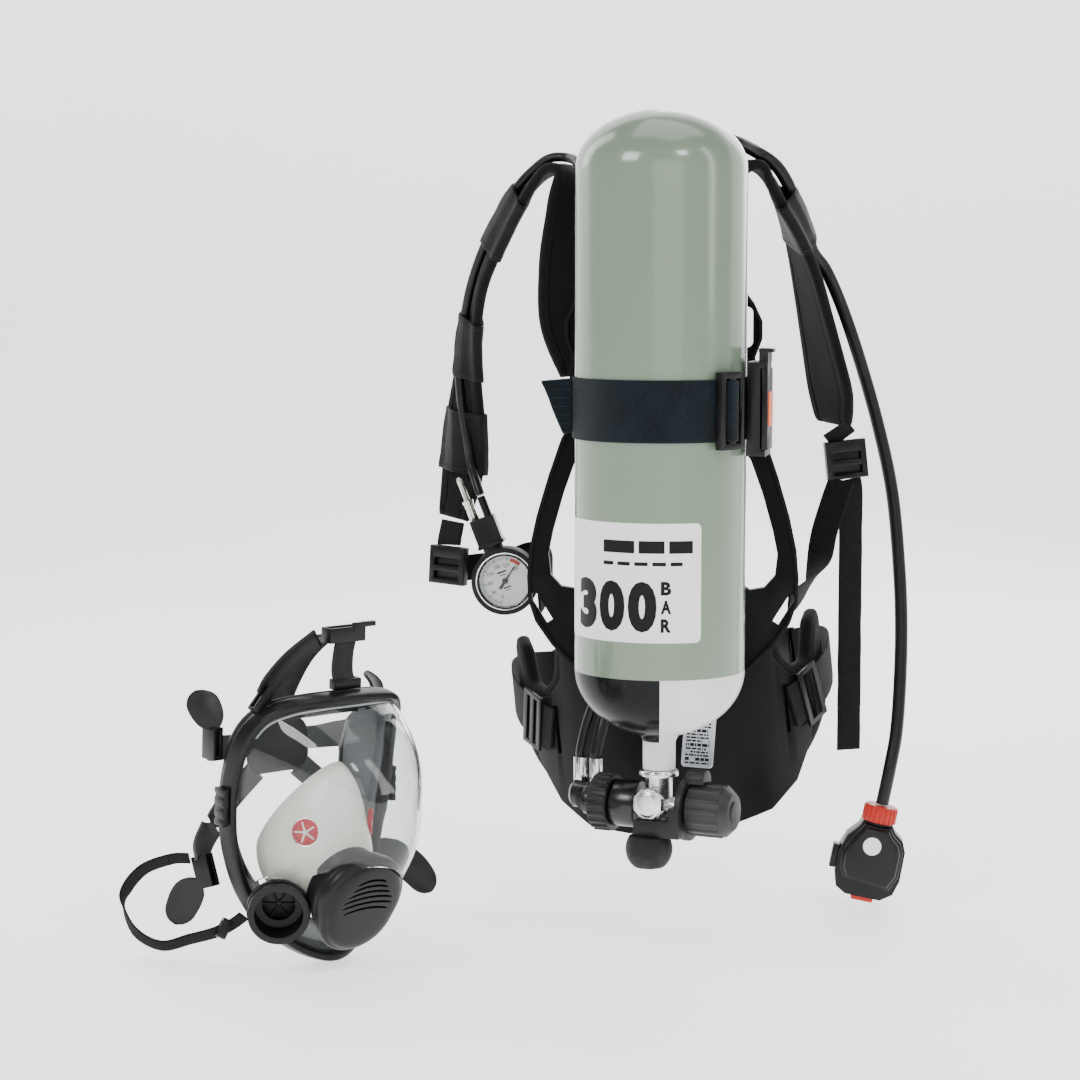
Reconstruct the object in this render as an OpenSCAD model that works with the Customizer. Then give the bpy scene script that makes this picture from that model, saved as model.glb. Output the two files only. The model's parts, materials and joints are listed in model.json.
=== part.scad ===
// Firefighter's open-circuit breathing apparatus: an air cylinder with its valve
// and pressure reducer on a moulded back plate with a harness, a pressure gauge
// and a demand valve on their hoses, and a full-face mask standing beside it.
// Millimetres. +Z is up, the wearer is on the +Y side, the origin is the upper
// edge of the hook slot at the top of the back plate.

/* [Cylinder] */
// Outside radius of the air cylinder
cyl_r = 70; // [66:0.5:72]
// Height of the cylinder without its neck
cyl_h = 516; // [500:1:530]
// Wall thickness of the cylinder
cyl_wall = 4.2; // [3:0.1:6]
// Height at which the lower shoulder starts
shoulder_z = 60; // [56:1:64]

/* [Valve] */
// Height of the valve's horizontal axis below the cylinder
valve_z = -55; // [-58:1:-53]
// Turn of the valve about the cylinder axis, towards the rear
valve_turn = 22; // [16:1:28]
// Radius of the hand wheel over its ribs
wheel_r = 22; // [20:0.5:23]
// Radius of the coupling wheel over its grip
coupling_r = 24.5; // [22:0.5:26]
// Radius of the valve spindle
spindle_r = 4; // [3.5:0.1:4.5]

/* [Back plate] */
// Front face of the plate, measured from the cylinder axis
plate_y = 78; // [77:0.5:79]
// Thickness of the plate's web
plate_t = 4; // [3.5:0.5:5]
// Width of the cylinder strap
strap_w = 50; // [44:1:52]
// Height of the middle of the cylinder strap
strap_z = 275; // [270:1:280]

/* [Waist] */
// Outside radius of the lumbar shell
hip_r = 142; // [140:1:144]
// Tilt of the waist assembly at rest
hip_tilt = -6; // [-8:1:-4]
// Height of the waist swivel
swivel_z = 60; // [56:1:64]

/* [Harness] */
// Width of the shoulder pads
pad_w = 60; // [54:1:62]
// Thickness of the shoulder pads
pad_t = 9; // [7:0.5:10]
// Width of the adjusting webbing
web_w = 25; // [22:1:26]
// Diameter of the gauge hose
gauge_hose_d = 8; // [7:0.5:8.5]
// Diameter of the supply hose
supply_hose_d = 11; // [10:0.5:11.5]

/* [Demand valve and mask] */
// Radius of the demand valve's spigot and of the mask's port
port_r = 19; // [18:0.5:20]
// Height of the mask's bezel
mask_h = 211; // [207:1:214]
// Width of the mask's bezel
mask_w = 152; // [148:1:156]

/* [Hidden] */
$fn = 48;
HOOK = [0, 80, 466];
EPS = 0.01;

// ---- frames -------------------------------------------------------------
module place() translate(-HOOK) children();
function vw(u, v, z) = [u * cos(valve_turn) + v * sin(valve_turn), v * cos(valve_turn) - u * sin(valve_turn), valve_z + z];
module valve_at() translate([0, 0, valve_z]) rotate([0, 0, -valve_turn]) children();
// along(): a shape drawn about +Z, laid along +X
module along() rotate([0, 90, 0]) children();
HIP = [0, 102 + hip_r, swivel_z];
module hip_at() translate([0, 0, swivel_z]) rotate([0, hip_tilt, 0]) translate([0, HIP[1], -swivel_z]) children();
GAUGE = [-141, 172, 112];
GTILT = -21;
module gauge_at() translate(GAUGE) rotate([0, GTILT, 0]) children();
DV = [187, 78, -67];
DVTILT = 11.5;
module dv_at() translate(DV) rotate([0, DVTILT, 0]) children();
MASK = [-237, -150, -39];
MYAW = 44;
MPITCH = 3;
module mask_at() translate(MASK) rotate([0, 0, MYAW]) rotate([MPITCH, 0, 0]) children();

// ---- vectors, splines and swept solids ------------------------------------
function unit(v) = v / norm(v);
function lerp(a, b, t) = a + (b - a) * t;
function cr(a, b, c, d, t) = 0.5 * ((2 * b) + (c - a) * t + (2 * a - 5 * b + 4 * c - d) * t * t + (3 * b - a - 3 * c + d) * t * t * t);
function spline(P, n) = let (m = len(P)) concat([for (i = [0:m - 2], k = [0:n - 1])
  cr(P[max(i - 1, 0)], P[i], P[i + 1], P[min(i + 2, m - 1)], k / n)], [P[m - 1]]);
function tangent(P, i) = unit(P[min(i + 1, len(P) - 1)] - P[max(i - 1, 0)]);
function tangent_c(P, i) = unit(P[(i + 1) % len(P)] - P[(i + len(P) - 1) % len(P)]);
function slice(P, a, b) = [for (i = [a:b]) P[i]];
// quads between rings as triangles; closed rings, open or closed path
function ring_faces(n, m) = [for (i = [0:n - 2], j = [0:m - 1]) each let (a = i * m + j, b = i * m + (j + 1) % m, c = a + m, d = b + m) [[a, c, b], [b, c, d]]];
function end_faces(n, m) = concat([for (j = [1:m - 2]) [0, j, j + 1]], [for (j = [1:m - 2]) [(n - 1) * m, (n - 1) * m + j + 1, (n - 1) * m + j]]);
function loop_faces(n, m) = [for (i = [0:n - 1], j = [0:m - 1]) each let (e = (i + 1) % n, a = i * m + j, b = i * m + (j + 1) % m, c = e * m + j, d = e * m + (j + 1) % m) [[a, c, b], [b, c, d]]];
module skin(R) { n = len(R); m = len(R[0]); polyhedron(points = [for (r = R) each r], faces = concat(ring_faces(n, m), end_faces(n, m)), convexity = 8); }
module torus_skin(R) { n = len(R); m = len(R[0]); polyhedron(points = [for (r = R) each r], faces = loop_faces(n, m), convexity = 8); }
function pick(v, i, n) = is_list(v) ? (len(v) == 2 ? lerp(v[0], v[1], i / (n - 1)) : v[i]) : v;
// a flat strap: W wide along D, T thick, lifted by L along its normal
function strap_rings(P, D, W, T, L = 0) = let (n = len(P)) [for (i = [0:n - 1])
  let (t = tangent(P, i), d = unit(D[i] - (D[i] * t) * t), u = cross(t, d), w = pick(W, i, n) / 2, h = pick(T, i, n) / 2, p = P[i] + u * L)
  [p + d * w + u * h, p - d * w + u * h, p - d * w - u * h, p + d * w - u * h]];
module strap(P, D, W, T, L = 0) skin(strap_rings(P, D, W, T, L));
function tube_rings(P, r, m, U) = [for (i = [0:len(P) - 1])
  let (t = tangent(P, i), a = unit(cross(t, U)), b = cross(t, a)) [for (k = [0:m - 1]) P[i] + r * (cos(360 * k / m) * a + sin(360 * k / m) * b)]];
module tube(P, r, m = 8, U = [0.3, 1, 0.1]) skin(tube_rings(P, r, m, U));
module box(lo, hi) translate(lo) cube(hi - lo);
module rounded(w, h, r) union() { square([w - 2 * r, h], center = true); square([w, h - 2 * r], center = true);
  for (x = [-1, 1], y = [-1, 1]) translate([x * (w / 2 - r), y * (h / 2 - r)]) circle(r); }

// ---- harness routes ---------------------------------------------------------
LP = [[-72, 98.5, 296], [-76, 98.5, 340], [-77, 98.5, 388], [-73, 102, 434], [-77, 112, 464], [-96, 121, 470], [-120, 133, 450], [-143, 150, 414],
      [-160, 168, 376], [-170, 184, 334], [-176, 195, 292], [-179, 200, 250], [-182, 204, 206], [-190, 204, 164]];
LD = [[1, 0, 0], [1, 0, 0], [1, 0.05, 0], [0.93, 0.35, 0], [0.5, 0.85, 0], [0.15, 1, 0], [-0.03, 0.95, 0.2], [-0.07, 0.92, 0.35],
      [-0.07, 0.93, 0.33], [-0.2, 0.93, 0.3], [-0.45, 0.86, 0.2], [-0.7, 0.7, 0.1], [-0.83, 0.55, 0], [-0.85, 0.5, 0]];
LW = [34, 60, 60, 58, 54, 50, 48, 48, 48, 48, 50, 50, 46, 34];
RP = [[38, 98.5, 296], [38, 98.5, 340], [37, 98.5, 388], [40, 102, 430], [52, 110, 462], [74, 118, 473], [92, 128, 454], [107, 140, 424],
      [119, 153, 388], [128, 167, 350], [136, 180, 314], [143, 190, 280], [147, 197, 250]];
RD = [[-1, 0, 0], [-1, 0, 0], [-1, 0.05, 0], [-0.93, 0.35, 0], [-0.5, 0.85, 0], [-0.15, 1, 0], [-0.06, 0.95, 0.2], [-0.24, 0.93, 0.33],
      [-0.38, 0.9, 0.28], [-0.44, 0.86, 0.22], [-0.52, 0.82, 0.18], [-0.6, 0.78, 0.15], [-0.65, 0.75, 0.1]];
RW = [30, 56, 58, 56, 54, 54, 56, 58, 60, 62, 62, 60, 44];
LPs = spline(LP, 4); LDs = spline(LD, 4); LWs = spline(LW, 4);
RPs = spline(RP, 4); RDs = spline(RD, 4); RWs = spline(RW, 4);
// outer face of a pad, where its hose lies, at ring i
function on_pad(P, D, i, L, S = 0) = let (t = tangent(P, i), d = unit(D[i] - (D[i] * t) * t)) P[i] + cross(t, d) * L + d * S;
LH = pad_t / 2 + gauge_hose_d / 2 + 0.4;
RH = pad_t / 2 + supply_hose_d / 2 + 0.4;
GH = concat([vw(-81.5, 21.2, 32.3), vw(-81.5, 21.2, 38), [-63, 52, 4], [-56, 54, 28], [-53, 57, 60], [-52, 58, 120], [-52, 58, 200], [-52, 58, 300], [-52, 58, 380], [-53, 60, 425], [-60, 72, 456], [-72, 92, 474]],
  [for (i = [18, 20, 22, 24, 27, 30, 33, 36, 39, 42, 45, 47]) on_pad(LPs, LDs, i, -LH - (i < 22 ? 1.5 : 0.4), -2 * max(0, i - 39))],
  [[-168.5, 178.5, 201], [-163.6, 172, 188]]);
SU = concat([vw(-67, 21.2, 33.6), vw(-67, 21.2, 38), [-49, 49, 4], [-43, 59, 28], [-39, 67, 60], [-38, 66.5, 120], [-38, 66.5, 300], [-38, 66.5, 420], [-34, 69, 456], [-23, 69.6, 483.5], [2, 73, 495], [34, 80, 497], [58, 95, 493]],
  [for (i = [20, 22, 24, 26, 29]) on_pad(RPs, RDs, i, RH + (i < 25 ? 2 : 0.2))]);
SH = concat([on_pad(RPs, RDs, 29, RH + 0.2), on_pad(RPs, RDs, 31, RH + 0.2)], [[138, 160, 384], [152, 154, 352], [167, 147, 308], [183, 137, 252], [195, 126, 196],
  [201, 114, 134], [203, 104, 84], [202, 95, 36], [199, 87, -6], [193.4, 80, -36], [189.1, 78, -57], [187.3, 78, -65.8]]);
GHs = spline(GH, 3);
SUs = spline(SU, 3);
SHs = spline(SH, 5);
WL1 = [[-190.6, 204, 161], [-192, 203, 154], [-193.5, 201, 146], [-194, 200, 140]];
WL2 = [[-186, 206, 117], [-176, 209, 119], [-160, 209, 121], [-140, 208, 124], [-122, 206, 131], [-108, 194, 131], [-101, 172, 126], [-99, 148, 119], [-101, 124, 111], [-106, 95, 102]];
WR1 = [[148, 198, 246], [152, 202, 241], [156, 205, 236]];
WR2 = [[154, 201, 200], [147, 196, 180], [139, 188, 154], [134, 172, 130], [127, 146, 115], [116, 114, 107], [107, 95, 103]];
TAIL = [[161, 212, 200], [163, 212, 186], [163, 210, 120], [163, 209, 40], [163, 208, -42]];

// ---- back plate ---------------------------------------------------------------
PLATE = [[0, 482], [30, 482], [42, 475], [48, 460], [49, 430], [52, 400], [64, 374], [76, 358], [83, 343], [83, 328], [77, 313], [79, 296], [79, 256],
  [86, 244], [97, 212], [107, 178], [113, 150], [115, 126], [114, 106], [108, 88], [94, 68], [72, 46], [42, 30], [0, 24]];
GAP = [[42, 236], [54, 240], [67, 236], [74, 226], [84, 198], [93, 166], [97, 146], [95, 128], [86, 118], [74, 116], [62, 124], [50, 146], [42, 180]];
function both(P) = concat(P, [for (i = [len(P) - 1:-1:0]) if (P[i][0] > EPS) [-P[i][0], P[i][1]]]);
module flip() { children(); mirror([1, 0, 0]) children(); }
module slots() {
  hull() for (x = [-26, 26]) translate([x, 456]) circle(10);
  flip() { translate([70, 338]) hull() for (z = [-12, 12]) translate([0, z]) circle(5);
    translate([68.5, strap_z]) square([13, strap_w + 5], center = true);
    translate([103, 100]) rotate(-32) square([6, 28], center = true);
    polygon(GAP); }
}
module backplate() color([0.05, 0.05, 0.055]) place() difference() {
  union() {
    translate([0, plate_y + plate_t, 0]) rotate([90, 0, 0]) linear_extrude(plate_t) difference() { polygon(both(PLATE)); slots(); }
    // rim round the edge, and round the two side openings
    translate([0, 88, 0]) rotate([90, 0, 0]) linear_extrude(13) difference() { polygon(both(PLATE)); offset(delta = -3.2) polygon(both(PLATE)); }
    flip() translate([0, 88, 0]) rotate([90, 0, 0]) linear_extrude(6) difference() { offset(delta = 3.2) polygon(GAP); polygon(GAP); }
    // long ribs on the wearer's side
    for (x = [-30, 30]) box([x - 2, plate_y, 60], [x + 2, 88, 425]);
    translate([0, 98, swivel_z]) rotate([90, 0, 0]) cylinder(h = 20, r = 20);
  }
  translate([0, 120, swivel_z]) rotate([90, 0, 0]) cylinder(h = 60, r = 8.05);
  flip() box([62, 70, strap_z - strap_w / 2 - 2.5], [75, 95, strap_z + strap_w / 2 + 2.5]);
}
module cradle_pads() color([0.03, 0.03, 0.03]) place() difference() {
  for (z = [128, 388]) box([-28, 58, z], [28, plate_y, z + 42]);
  cylinder(h = 600, r = cyl_r + 0.1, $fn = 96);
  for (z = [149, 409]) translate([0, 90, z]) rotate([90, 0, 0]) cylinder(h = 40, r = 3.02);
}
module plate_screws() color([0.55, 0.56, 0.58]) place() {
  for (z = [149, 409]) translate([0, 73, z]) rotate([-90, 0, 0]) cylinder(h = 5, r = 2.9);
  // rivets that hold the pads' ends and the adjusting webbing
  flip() for (z = [308, 320]) translate([57, 93, z]) rotate([90, 0, 0]) cylinder(h = 5, r = 4);
}

// ---- cylinder -------------------------------------------------------------------
module cylinder_shell() color([0.55, 0.61, 0.54]) place() rotate_extrude($fn = 120) difference() {
  union() {
    polygon(concat([[0, cyl_h]], [for (k = [13:-1:0]) [cyl_r * cos(90 * k / 14), cyl_h - 48 + 48 * sin(90 * k / 14)]],
      [for (k = [0:12]) let (a = 90 * k / 14) [cyl_r * cos(a), shoulder_z - 56 * sin(a)]], [[17, 2.5], [13.6, -1], [13.6, -24], [0, -24]]));
  }
  polygon(concat([[0, cyl_h - cyl_wall]], [for (k = [13:-1:0]) [(cyl_r - cyl_wall) * cos(90 * k / 14), cyl_h - 48 + (48 - cyl_wall) * sin(90 * k / 14)]],
      [for (k = [0:12]) let (a = 90 * k / 14) [(cyl_r - cyl_wall) * cos(a), shoulder_z - (56 - cyl_wall - 4) * sin(a)]], [[9, 11], [9, -25], [0, -25]]));
}

// ---- valve and reducer -----------------------------------------------------------
module valve_body() color([0.75, 0.76, 0.78]) place() union() {
  translate([0, 0, -30]) cylinder(h = 46, r = 8.9);
  translate([0, 0, -29]) cylinder(h = 3, r = 16.5);
  valve_at() difference() {
    union() {
      translate([0, 0, -13]) rotate([0, 0, 22.5]) cylinder(h = 40, r = 11.2, $fn = 8);
      along() translate([0, 0, -36]) cylinder(h = 40, r = 9);
      along() cylinder(h = 24, r = 8.5);
      translate([0, -12.2, 5]) rotate([90, 0, 0]) cylinder(h = 8, r = 7, center = true);
    }
    along() translate([0, 0, 5]) cylinder(h = 30, r = spindle_r + 0.05);
    along() translate([0, 0, -36.5]) cylinder(h = 14, r = 5.5);
  }
}
module valve_plug() color([0.82, 0.82, 0.83]) place() valve_at() translate([0, -16.4, 5]) rotate([90, 0, 0]) union() {
  rotate(22.5) cylinder(h = 8, r = 13.4, $fn = 8);
  translate([0, 0, 8]) cylinder(h = 1.6, r1 = 10.5, r2 = 8.5);
}
module valve_guard() color([0.1, 0.1, 0.1]) place() valve_at() difference() {
  union() {
    along() translate([0, 0, 24.4]) cylinder(h = 5, r = 26.5);
    box([-11, -28, -21], [26, -16, -8]);
    box([20, -28, -21], [29.4, -8, 4]);
    intersection() { translate([26.9, 0, 24]) rotate([0, 90, 0]) cylinder(h = 16, r = 9); box([24.4, -12, 18], [44, 12, 36]); }
  }
  along() translate([0, 0, 20]) cylinder(h = 12, r = 9.2);
  along() translate([0, 0, 30.4]) cylinder(h = 20, r = wheel_r + 1.6);
}
module bumper_foot() color([0.06, 0.06, 0.06]) place() valve_at() translate([0, -20, -32]) difference() {
  union() { intersection() { sphere(19.4); box([-25, -25, -15.2], [25, 25, 10.9]); } cylinder(h = 10.9, r = 9); }
}
module outlet_collar() color([0.05, 0.05, 0.05]) place() valve_at() along() difference() {
  translate([0, 0, -38]) cylinder(h = 22, r = 19.5);
  translate([0, 0, -40]) cylinder(h = 30, r = 9.3);
  translate([0, 0, -17.5]) cylinder(h = 3, r = 13);
}
module coupling_grip() for (k = [0:19]) rotate(18 * k) translate([coupling_r - 2, 0, -55]) cylinder(h = 14.5, r = 2, $fn = 16);
module coupling_wheel() color([0.09, 0.09, 0.085]) place() valve_at() along() difference() {
  union() { translate([0, 0, -56]) cylinder(h = 16.5, r = coupling_r - 1.6); coupling_grip(); }
  translate([0, 0, -60]) cylinder(h = 30, r = 8.05);
  translate([0, 0, -41.5]) cylinder(h = 3, r = 17);
}
RU = [-81.5, -67]; // where the two hoses leave the reducer, along the valve's axis
module reducer_body() color([0.16, 0.16, 0.16]) place() valve_at() {
  difference() {
    union() {
      along() translate([0, 0, -64]) cylinder(h = 27.8, r = 8);
      along() translate([0, 0, -66]) cylinder(h = 8, r = 12);
      translate([-67.5, 0, 0]) rotate([-90, 0, 0]) cylinder(h = 21, r = 10);
      translate([0, 21, 0]) along() { translate([0, 0, -86]) cylinder(h = 29, r = 11.5); translate([0, 0, -89]) cylinder(h = 3.2, r1 = 8.5, r2 = 11.5); }
      for (u = RU) translate([u, 21, 5]) cylinder(h = 7.5, r = 6.2);
    }
    along() translate([0, 0, -62]) cylinder(h = 40, r = 3);
  }
}
module hose_ferrules() color([0.85, 0.84, 0.8]) place()
  for (u = RU) valve_at() translate([u, 21.2, 12.55]) { cylinder(h = 4, r = 6.6, $fn = 6); cylinder(h = 19, r = 5.9); }
module data_plate() color([0.8, 0.81, 0.83]) place() translate([32, 70, -4]) rotate([0, 4, 0]) rotate([90, 0, 0]) linear_extrude(1.2, center = true) rounded(27, 62, 3);
module handwheel() color([0.16, 0.16, 0.16]) place() valve_at() along() difference() {
  union() {
    translate([0, 0, 31]) cylinder(h = 30, r = wheel_r - 1.3);
    for (k = [0:13]) rotate(360 / 14 * k + 7) translate([wheel_r - 2.3, 0, 31.6]) cylinder(h = 28, r = 2.3, $fn = 16);
    translate([0, 0, 61]) cylinder(h = 6, r1 = wheel_r - 1.3, r2 = wheel_r - 7);
    translate([0, 0, 67]) cylinder(h = 1.5, r = 9);
  }
  translate([0, 0, 30]) cylinder(h = 24, r = spindle_r + 0.02);
  translate([0, 0, 30]) difference() { cylinder(h = 16, r = 17); cylinder(h = 17, r = 8); }
}
module valve_spindle() color([0.7, 0.7, 0.72]) place() valve_at() along() translate([0, 0, 6]) cylinder(h = 47.5, r = spindle_r);

// ---- cylinder strap and cam buckle -------------------------------------------------
module strap_band(r, y, x) union() { circle(r, $fn = 120); hull() { translate([-x, y - 2]) square([2 * x, 2]); intersection() { circle(r, $fn = 120); translate([-r, -2]) square([2 * r, 40]); } } }
module cylinder_strap() color([0.03, 0.07, 0.13]) place() {
  translate([0, 0, strap_z - strap_w / 2]) linear_extrude(strap_w) difference() { strap_band(cyl_r + 2.4, 91.4, 71); strap_band(cyl_r + 0.25, 89.2, 69); }
  // the folded pull end on the left
  translate([0, 0, strap_z]) rotate([0, 0, 8]) rotate([90, 0, 0]) linear_extrude(4, center = true) polygon([[-72, 24], [-98, 22], [-92, 8], [-86, -8], [-80, -22], [-72, -20]]);
}
BT = 82; // angle of the cam buckle from the rear
module at_buckle(a, r) rotate([0, 0, a - 90]) translate([r, 0, strap_z]) children();
module buckle_base() color([0.04, 0.04, 0.04]) place() {
  at_buckle(48, 72.9) difference() { translate([0, -13, -31]) cube([7, 26, 62]); translate([-1, -8.5, -26]) cube([9, 5, 52]); translate([-1, 3.5, -26]) cube([9, 5, 52]); }
  at_buckle(BT, 73.2) difference() {
    union() { translate([0, -18, -38]) cube([4, 36, 76]); for (z = [-38, 33]) translate([0, -18, z]) cube([15, 36, 5]); translate([3, -18, -33]) cube([8, 5, 66]); }
    translate([9.5, 12, -50]) cylinder(h = 100, r = 2.55);
  }
}
module buckle_pin() color([0.6, 0.6, 0.62]) place() at_buckle(BT, 73.2) translate([9.5, 12, -40]) cylinder(h = 80, r = 2.5);
module buckle_lever() color([0.07, 0.07, 0.07]) place() at_buckle(BT, 73.2) difference() {
  union() { translate([12.4, -19, -32.6]) cube([4.6, 31, 65.2]); translate([9.5, 12, -32.6]) cylinder(h = 65.2, r = 5); translate([9.5, 10, -32.6]) cube([7.5, 2, 65.2]);
    translate([15.1, -19, 32.2]) cube([1.9, 23, 6]); translate([9.6, -17, 38.1]) cube([7.4, 24, 11]); translate([9.6, -19, 46]) cube([12, 12, 3]); }
  translate([9.5, 12, -50]) cylinder(h = 100, r = 2.56);
  translate([14.4, -15, -14]) cube([4, 22, 28]);
}
module buckle_mark() color([0.8, 0.25, 0.08]) place() at_buckle(BT, 73.2) translate([14.5, -14.8, -13.8]) cube([3.6, 21.6, 27.6]);

// ---- hoses ---------------------------------------------------------------------------
module gauge_hose() color([0.04, 0.04, 0.04]) place() tube(GHs, gauge_hose_d / 2);
module supply_hose_upper() color([0.04, 0.04, 0.04]) place() tube(SUs, supply_hose_d / 2);
module supply_hose() color([0.04, 0.04, 0.04]) place() tube(SHs, supply_hose_d / 2, 10, [0, 1, 0]);

// ---- shoulder harness ------------------------------------------------------------------
module shoulder_pad_left() color([0.02, 0.02, 0.02]) place() strap(LPs, LDs, [for (w = LWs) w * pad_w / 60], pad_t);
module shoulder_pad_right() color([0.02, 0.02, 0.02]) place() strap(RPs, RDs, [for (w = RWs) w * pad_w / 60], pad_t);
module sleeve(P, D, a, b, w, t0, L, wall) {
  p = slice(P, a, b); d = slice(D, a, b);
  p2 = concat([p[0] - tangent(P, a) * 3], p, [p[len(p) - 1] + tangent(P, b) * 3]); d2 = concat([d[0]], d, [d[len(d) - 1]]);
  difference() { strap(p, d, w + 2 * wall, t0 + 2 * wall, L); strap(p2, d2, w, t0, L); }
}
module hose_sleeves() color([0.05, 0.05, 0.05]) place() {
  sleeve(LPs, LDs, 24, 29, pad_w - 8, pad_t + gauge_hose_d + 4, -gauge_hose_d / 2, 1.6);
  sleeve(LPs, LDs, 35, 40, pad_w - 9, pad_t + gauge_hose_d + 4, -gauge_hose_d / 2, 1.6);
  sleeve(LPs, LDs, 43, 48, pad_w - 9, pad_t + gauge_hose_d + 4, -gauge_hose_d / 2, 2);
  sleeve(RPs, RDs, 25, 30, pad_w + 2, pad_t + supply_hose_d + 3, supply_hose_d / 2, 1.6);
}
module ladder(w) difference() {
  translate([0, 0, 0]) cube([w + 12, 8, 34], center = true);
  cube([w + 1, 3.6, 40], center = true);
  for (z = [-9, 3]) translate([0, -3.4, z]) cube([w + 1, 5, 7], center = true);
}
module shoulder_buckles() color([0.04, 0.04, 0.04]) place() {
  translate([-194.3, 199.5, 122]) rotate([0, 3, 0]) rotate([0, 0, -28]) ladder(web_w);
  translate([158, 206, 218]) rotate([0, -6, 0]) rotate([0, 0, 14]) ladder(web_w);
}
module shoulder_webbing() color([0.03, 0.03, 0.03]) place() {
  strap(spline(WL1, 3), spline([[-0.85, 0.5, 0], [-0.87, 0.48, 0], [-0.88, 0.47, 0], [-0.88, 0.47, 0]], 3), web_w, 2);
  
  strap(spline(WR1, 3), [for (i = [0:6]) [0.95, 0.25, 0]], web_w, 2);
  strap(spline(TAIL, 4), [for (i = [0:16]) [0.9, 0.43, 0]], web_w - 2, 2);
}
module lower_webbing() color([0.03, 0.03, 0.03]) place() {
  strap(spline(WL2, 3), [for (i = [0:27]) [0, 0, 1]], web_w - 2, 2);
  strap(spline(WR2, 3), spline([[0.97, 0.2, 0], [0.97, 0.1, 0], [0.9, 0.1, 0], [0.75, 0, 0.4], [0.5, 0.1, 0.8], [0.3, 0.1, 0.9], [0.2, 0.1, 0.95]], 3), web_w - 2, 2);
}

// ---- waist assembly ----------------------------------------------------------------------
module ring_part(ro, ri) { rotate([0, 0, 0]) difference() { cylinder(h = 400, r = ro, center = true, $fn = 120); cylinder(h = 402, r = ri, center = true, $fn = 120); } }
LUMBAR = [[0, -98], [46, -97], [80, -90], [104, -70], [120, -38], [126, -4], [126, 20], [106, 22], [94, 38], [92, 60], [98, 78], [84, 92], [40, 102], [0, 104]];
HIPPAD = [[0, -88], [42, -87], [74, -80], [100, -62], [122, -36], [138, -14], [150, -10], [150, 66], [130, 70], [124, 62], [119, 30], [106, 26], [96, 40], [94, 62], [88, 82], [60, 90], [0, 92]];
module hip_cut(P, ro, ri, y1) intersection() {
  ring_part(ro, ri);
  translate([0, y1, 0]) rotate([90, 0, 0]) linear_extrude(200) polygon(both(P));
}
module lumbar_shell() color([0.05, 0.05, 0.055]) place() hip_at() difference() {
  union() { hip_cut(LUMBAR, hip_r, hip_r - 3, -4); translate([0, 5.6 - hip_r + 3, swivel_z]) rotate([90, 0, 0]) cylinder(h = 8.5, r = 18); }
  translate([0, -hip_r + 20, swivel_z]) rotate([90, 0, 0]) cylinder(h = 40, r = 8.05);
  flip() rotate([0, 0, 45]) translate([0, -hip_r + 10, -6]) rotate([90, 0, 0]) linear_extrude(20) square([5, 42], center = true);
}
module hip_pad() color([0.02, 0.02, 0.02]) place() hip_at() difference() {
  hip_cut(HIPPAD, hip_r - 3.4, hip_r - 19, -10);
  translate([0, -hip_r + 30, swivel_z]) rotate([90, 0, 0]) cylinder(h = 60, r = 21);
}
module swivel_pin() color([0.5, 0.5, 0.52]) place() translate([0, 0, swivel_z]) rotate([-90, 0, 0]) { translate([0, 0, 74.5]) cylinder(h = 3.4, r = 13); translate([0, 0, 74.6]) cylinder(h = 39, r = 8); translate([0, 0, 112.2]) cylinder(h = 3, r = 13); }
function hip_arc(a0, a1, n, r, z0, z1) = [for (k = [0:n]) let (a = lerp(a0, a1, k / n)) [r * sin(a), -r * cos(a), lerp(z0, z1, k / n)]];
BELT = concat(hip_arc(47, 84, 10, hip_r + 1.6, -6, 20), [[144, 10, 24], [142, 34, 25], [136, 58, 24], [126, 80, 21], [113, 98, 18]]);
module belt_webbing() color([0.03, 0.03, 0.03]) place() hip_at() flip() strap(BELT, [for (p = BELT) [0, 0, 1]], 38, 2);
module belt_sliders() color([0.05, 0.05, 0.05]) place() hip_at() flip() rotate([0, 0, 58]) translate([0, -hip_r - 3.4, 1.5]) rotate([0, -16, 0]) difference() {
  union() { for (x = [-15, -3, 9]) translate([x, -1.6, -25]) cube([6, 2.4, 50]); for (z = [-25, 21]) translate([-15, -1.6, z]) cube([30, 2.8, 4]); }
  translate([-20, 0.9, -20]) cube([40, 5, 40]);
}
module belt_buckle() color([0.05, 0.05, 0.05]) place() hip_at() {
  translate([98, 113, 15]) rotate([0, 0, 132]) difference() { cube([40, 9, 46], center = true); translate([-15, 0, 0]) cube([22, 3, 39], center = true); }
  translate([-98, 113, 15]) rotate([0, 0, -132]) difference() { cube([40, 9, 46], center = true); translate([15, 0, 0]) cube([22, 3, 39], center = true); translate([-14, 0, 0]) cube([20, 5, 34], center = true); }
}

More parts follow.
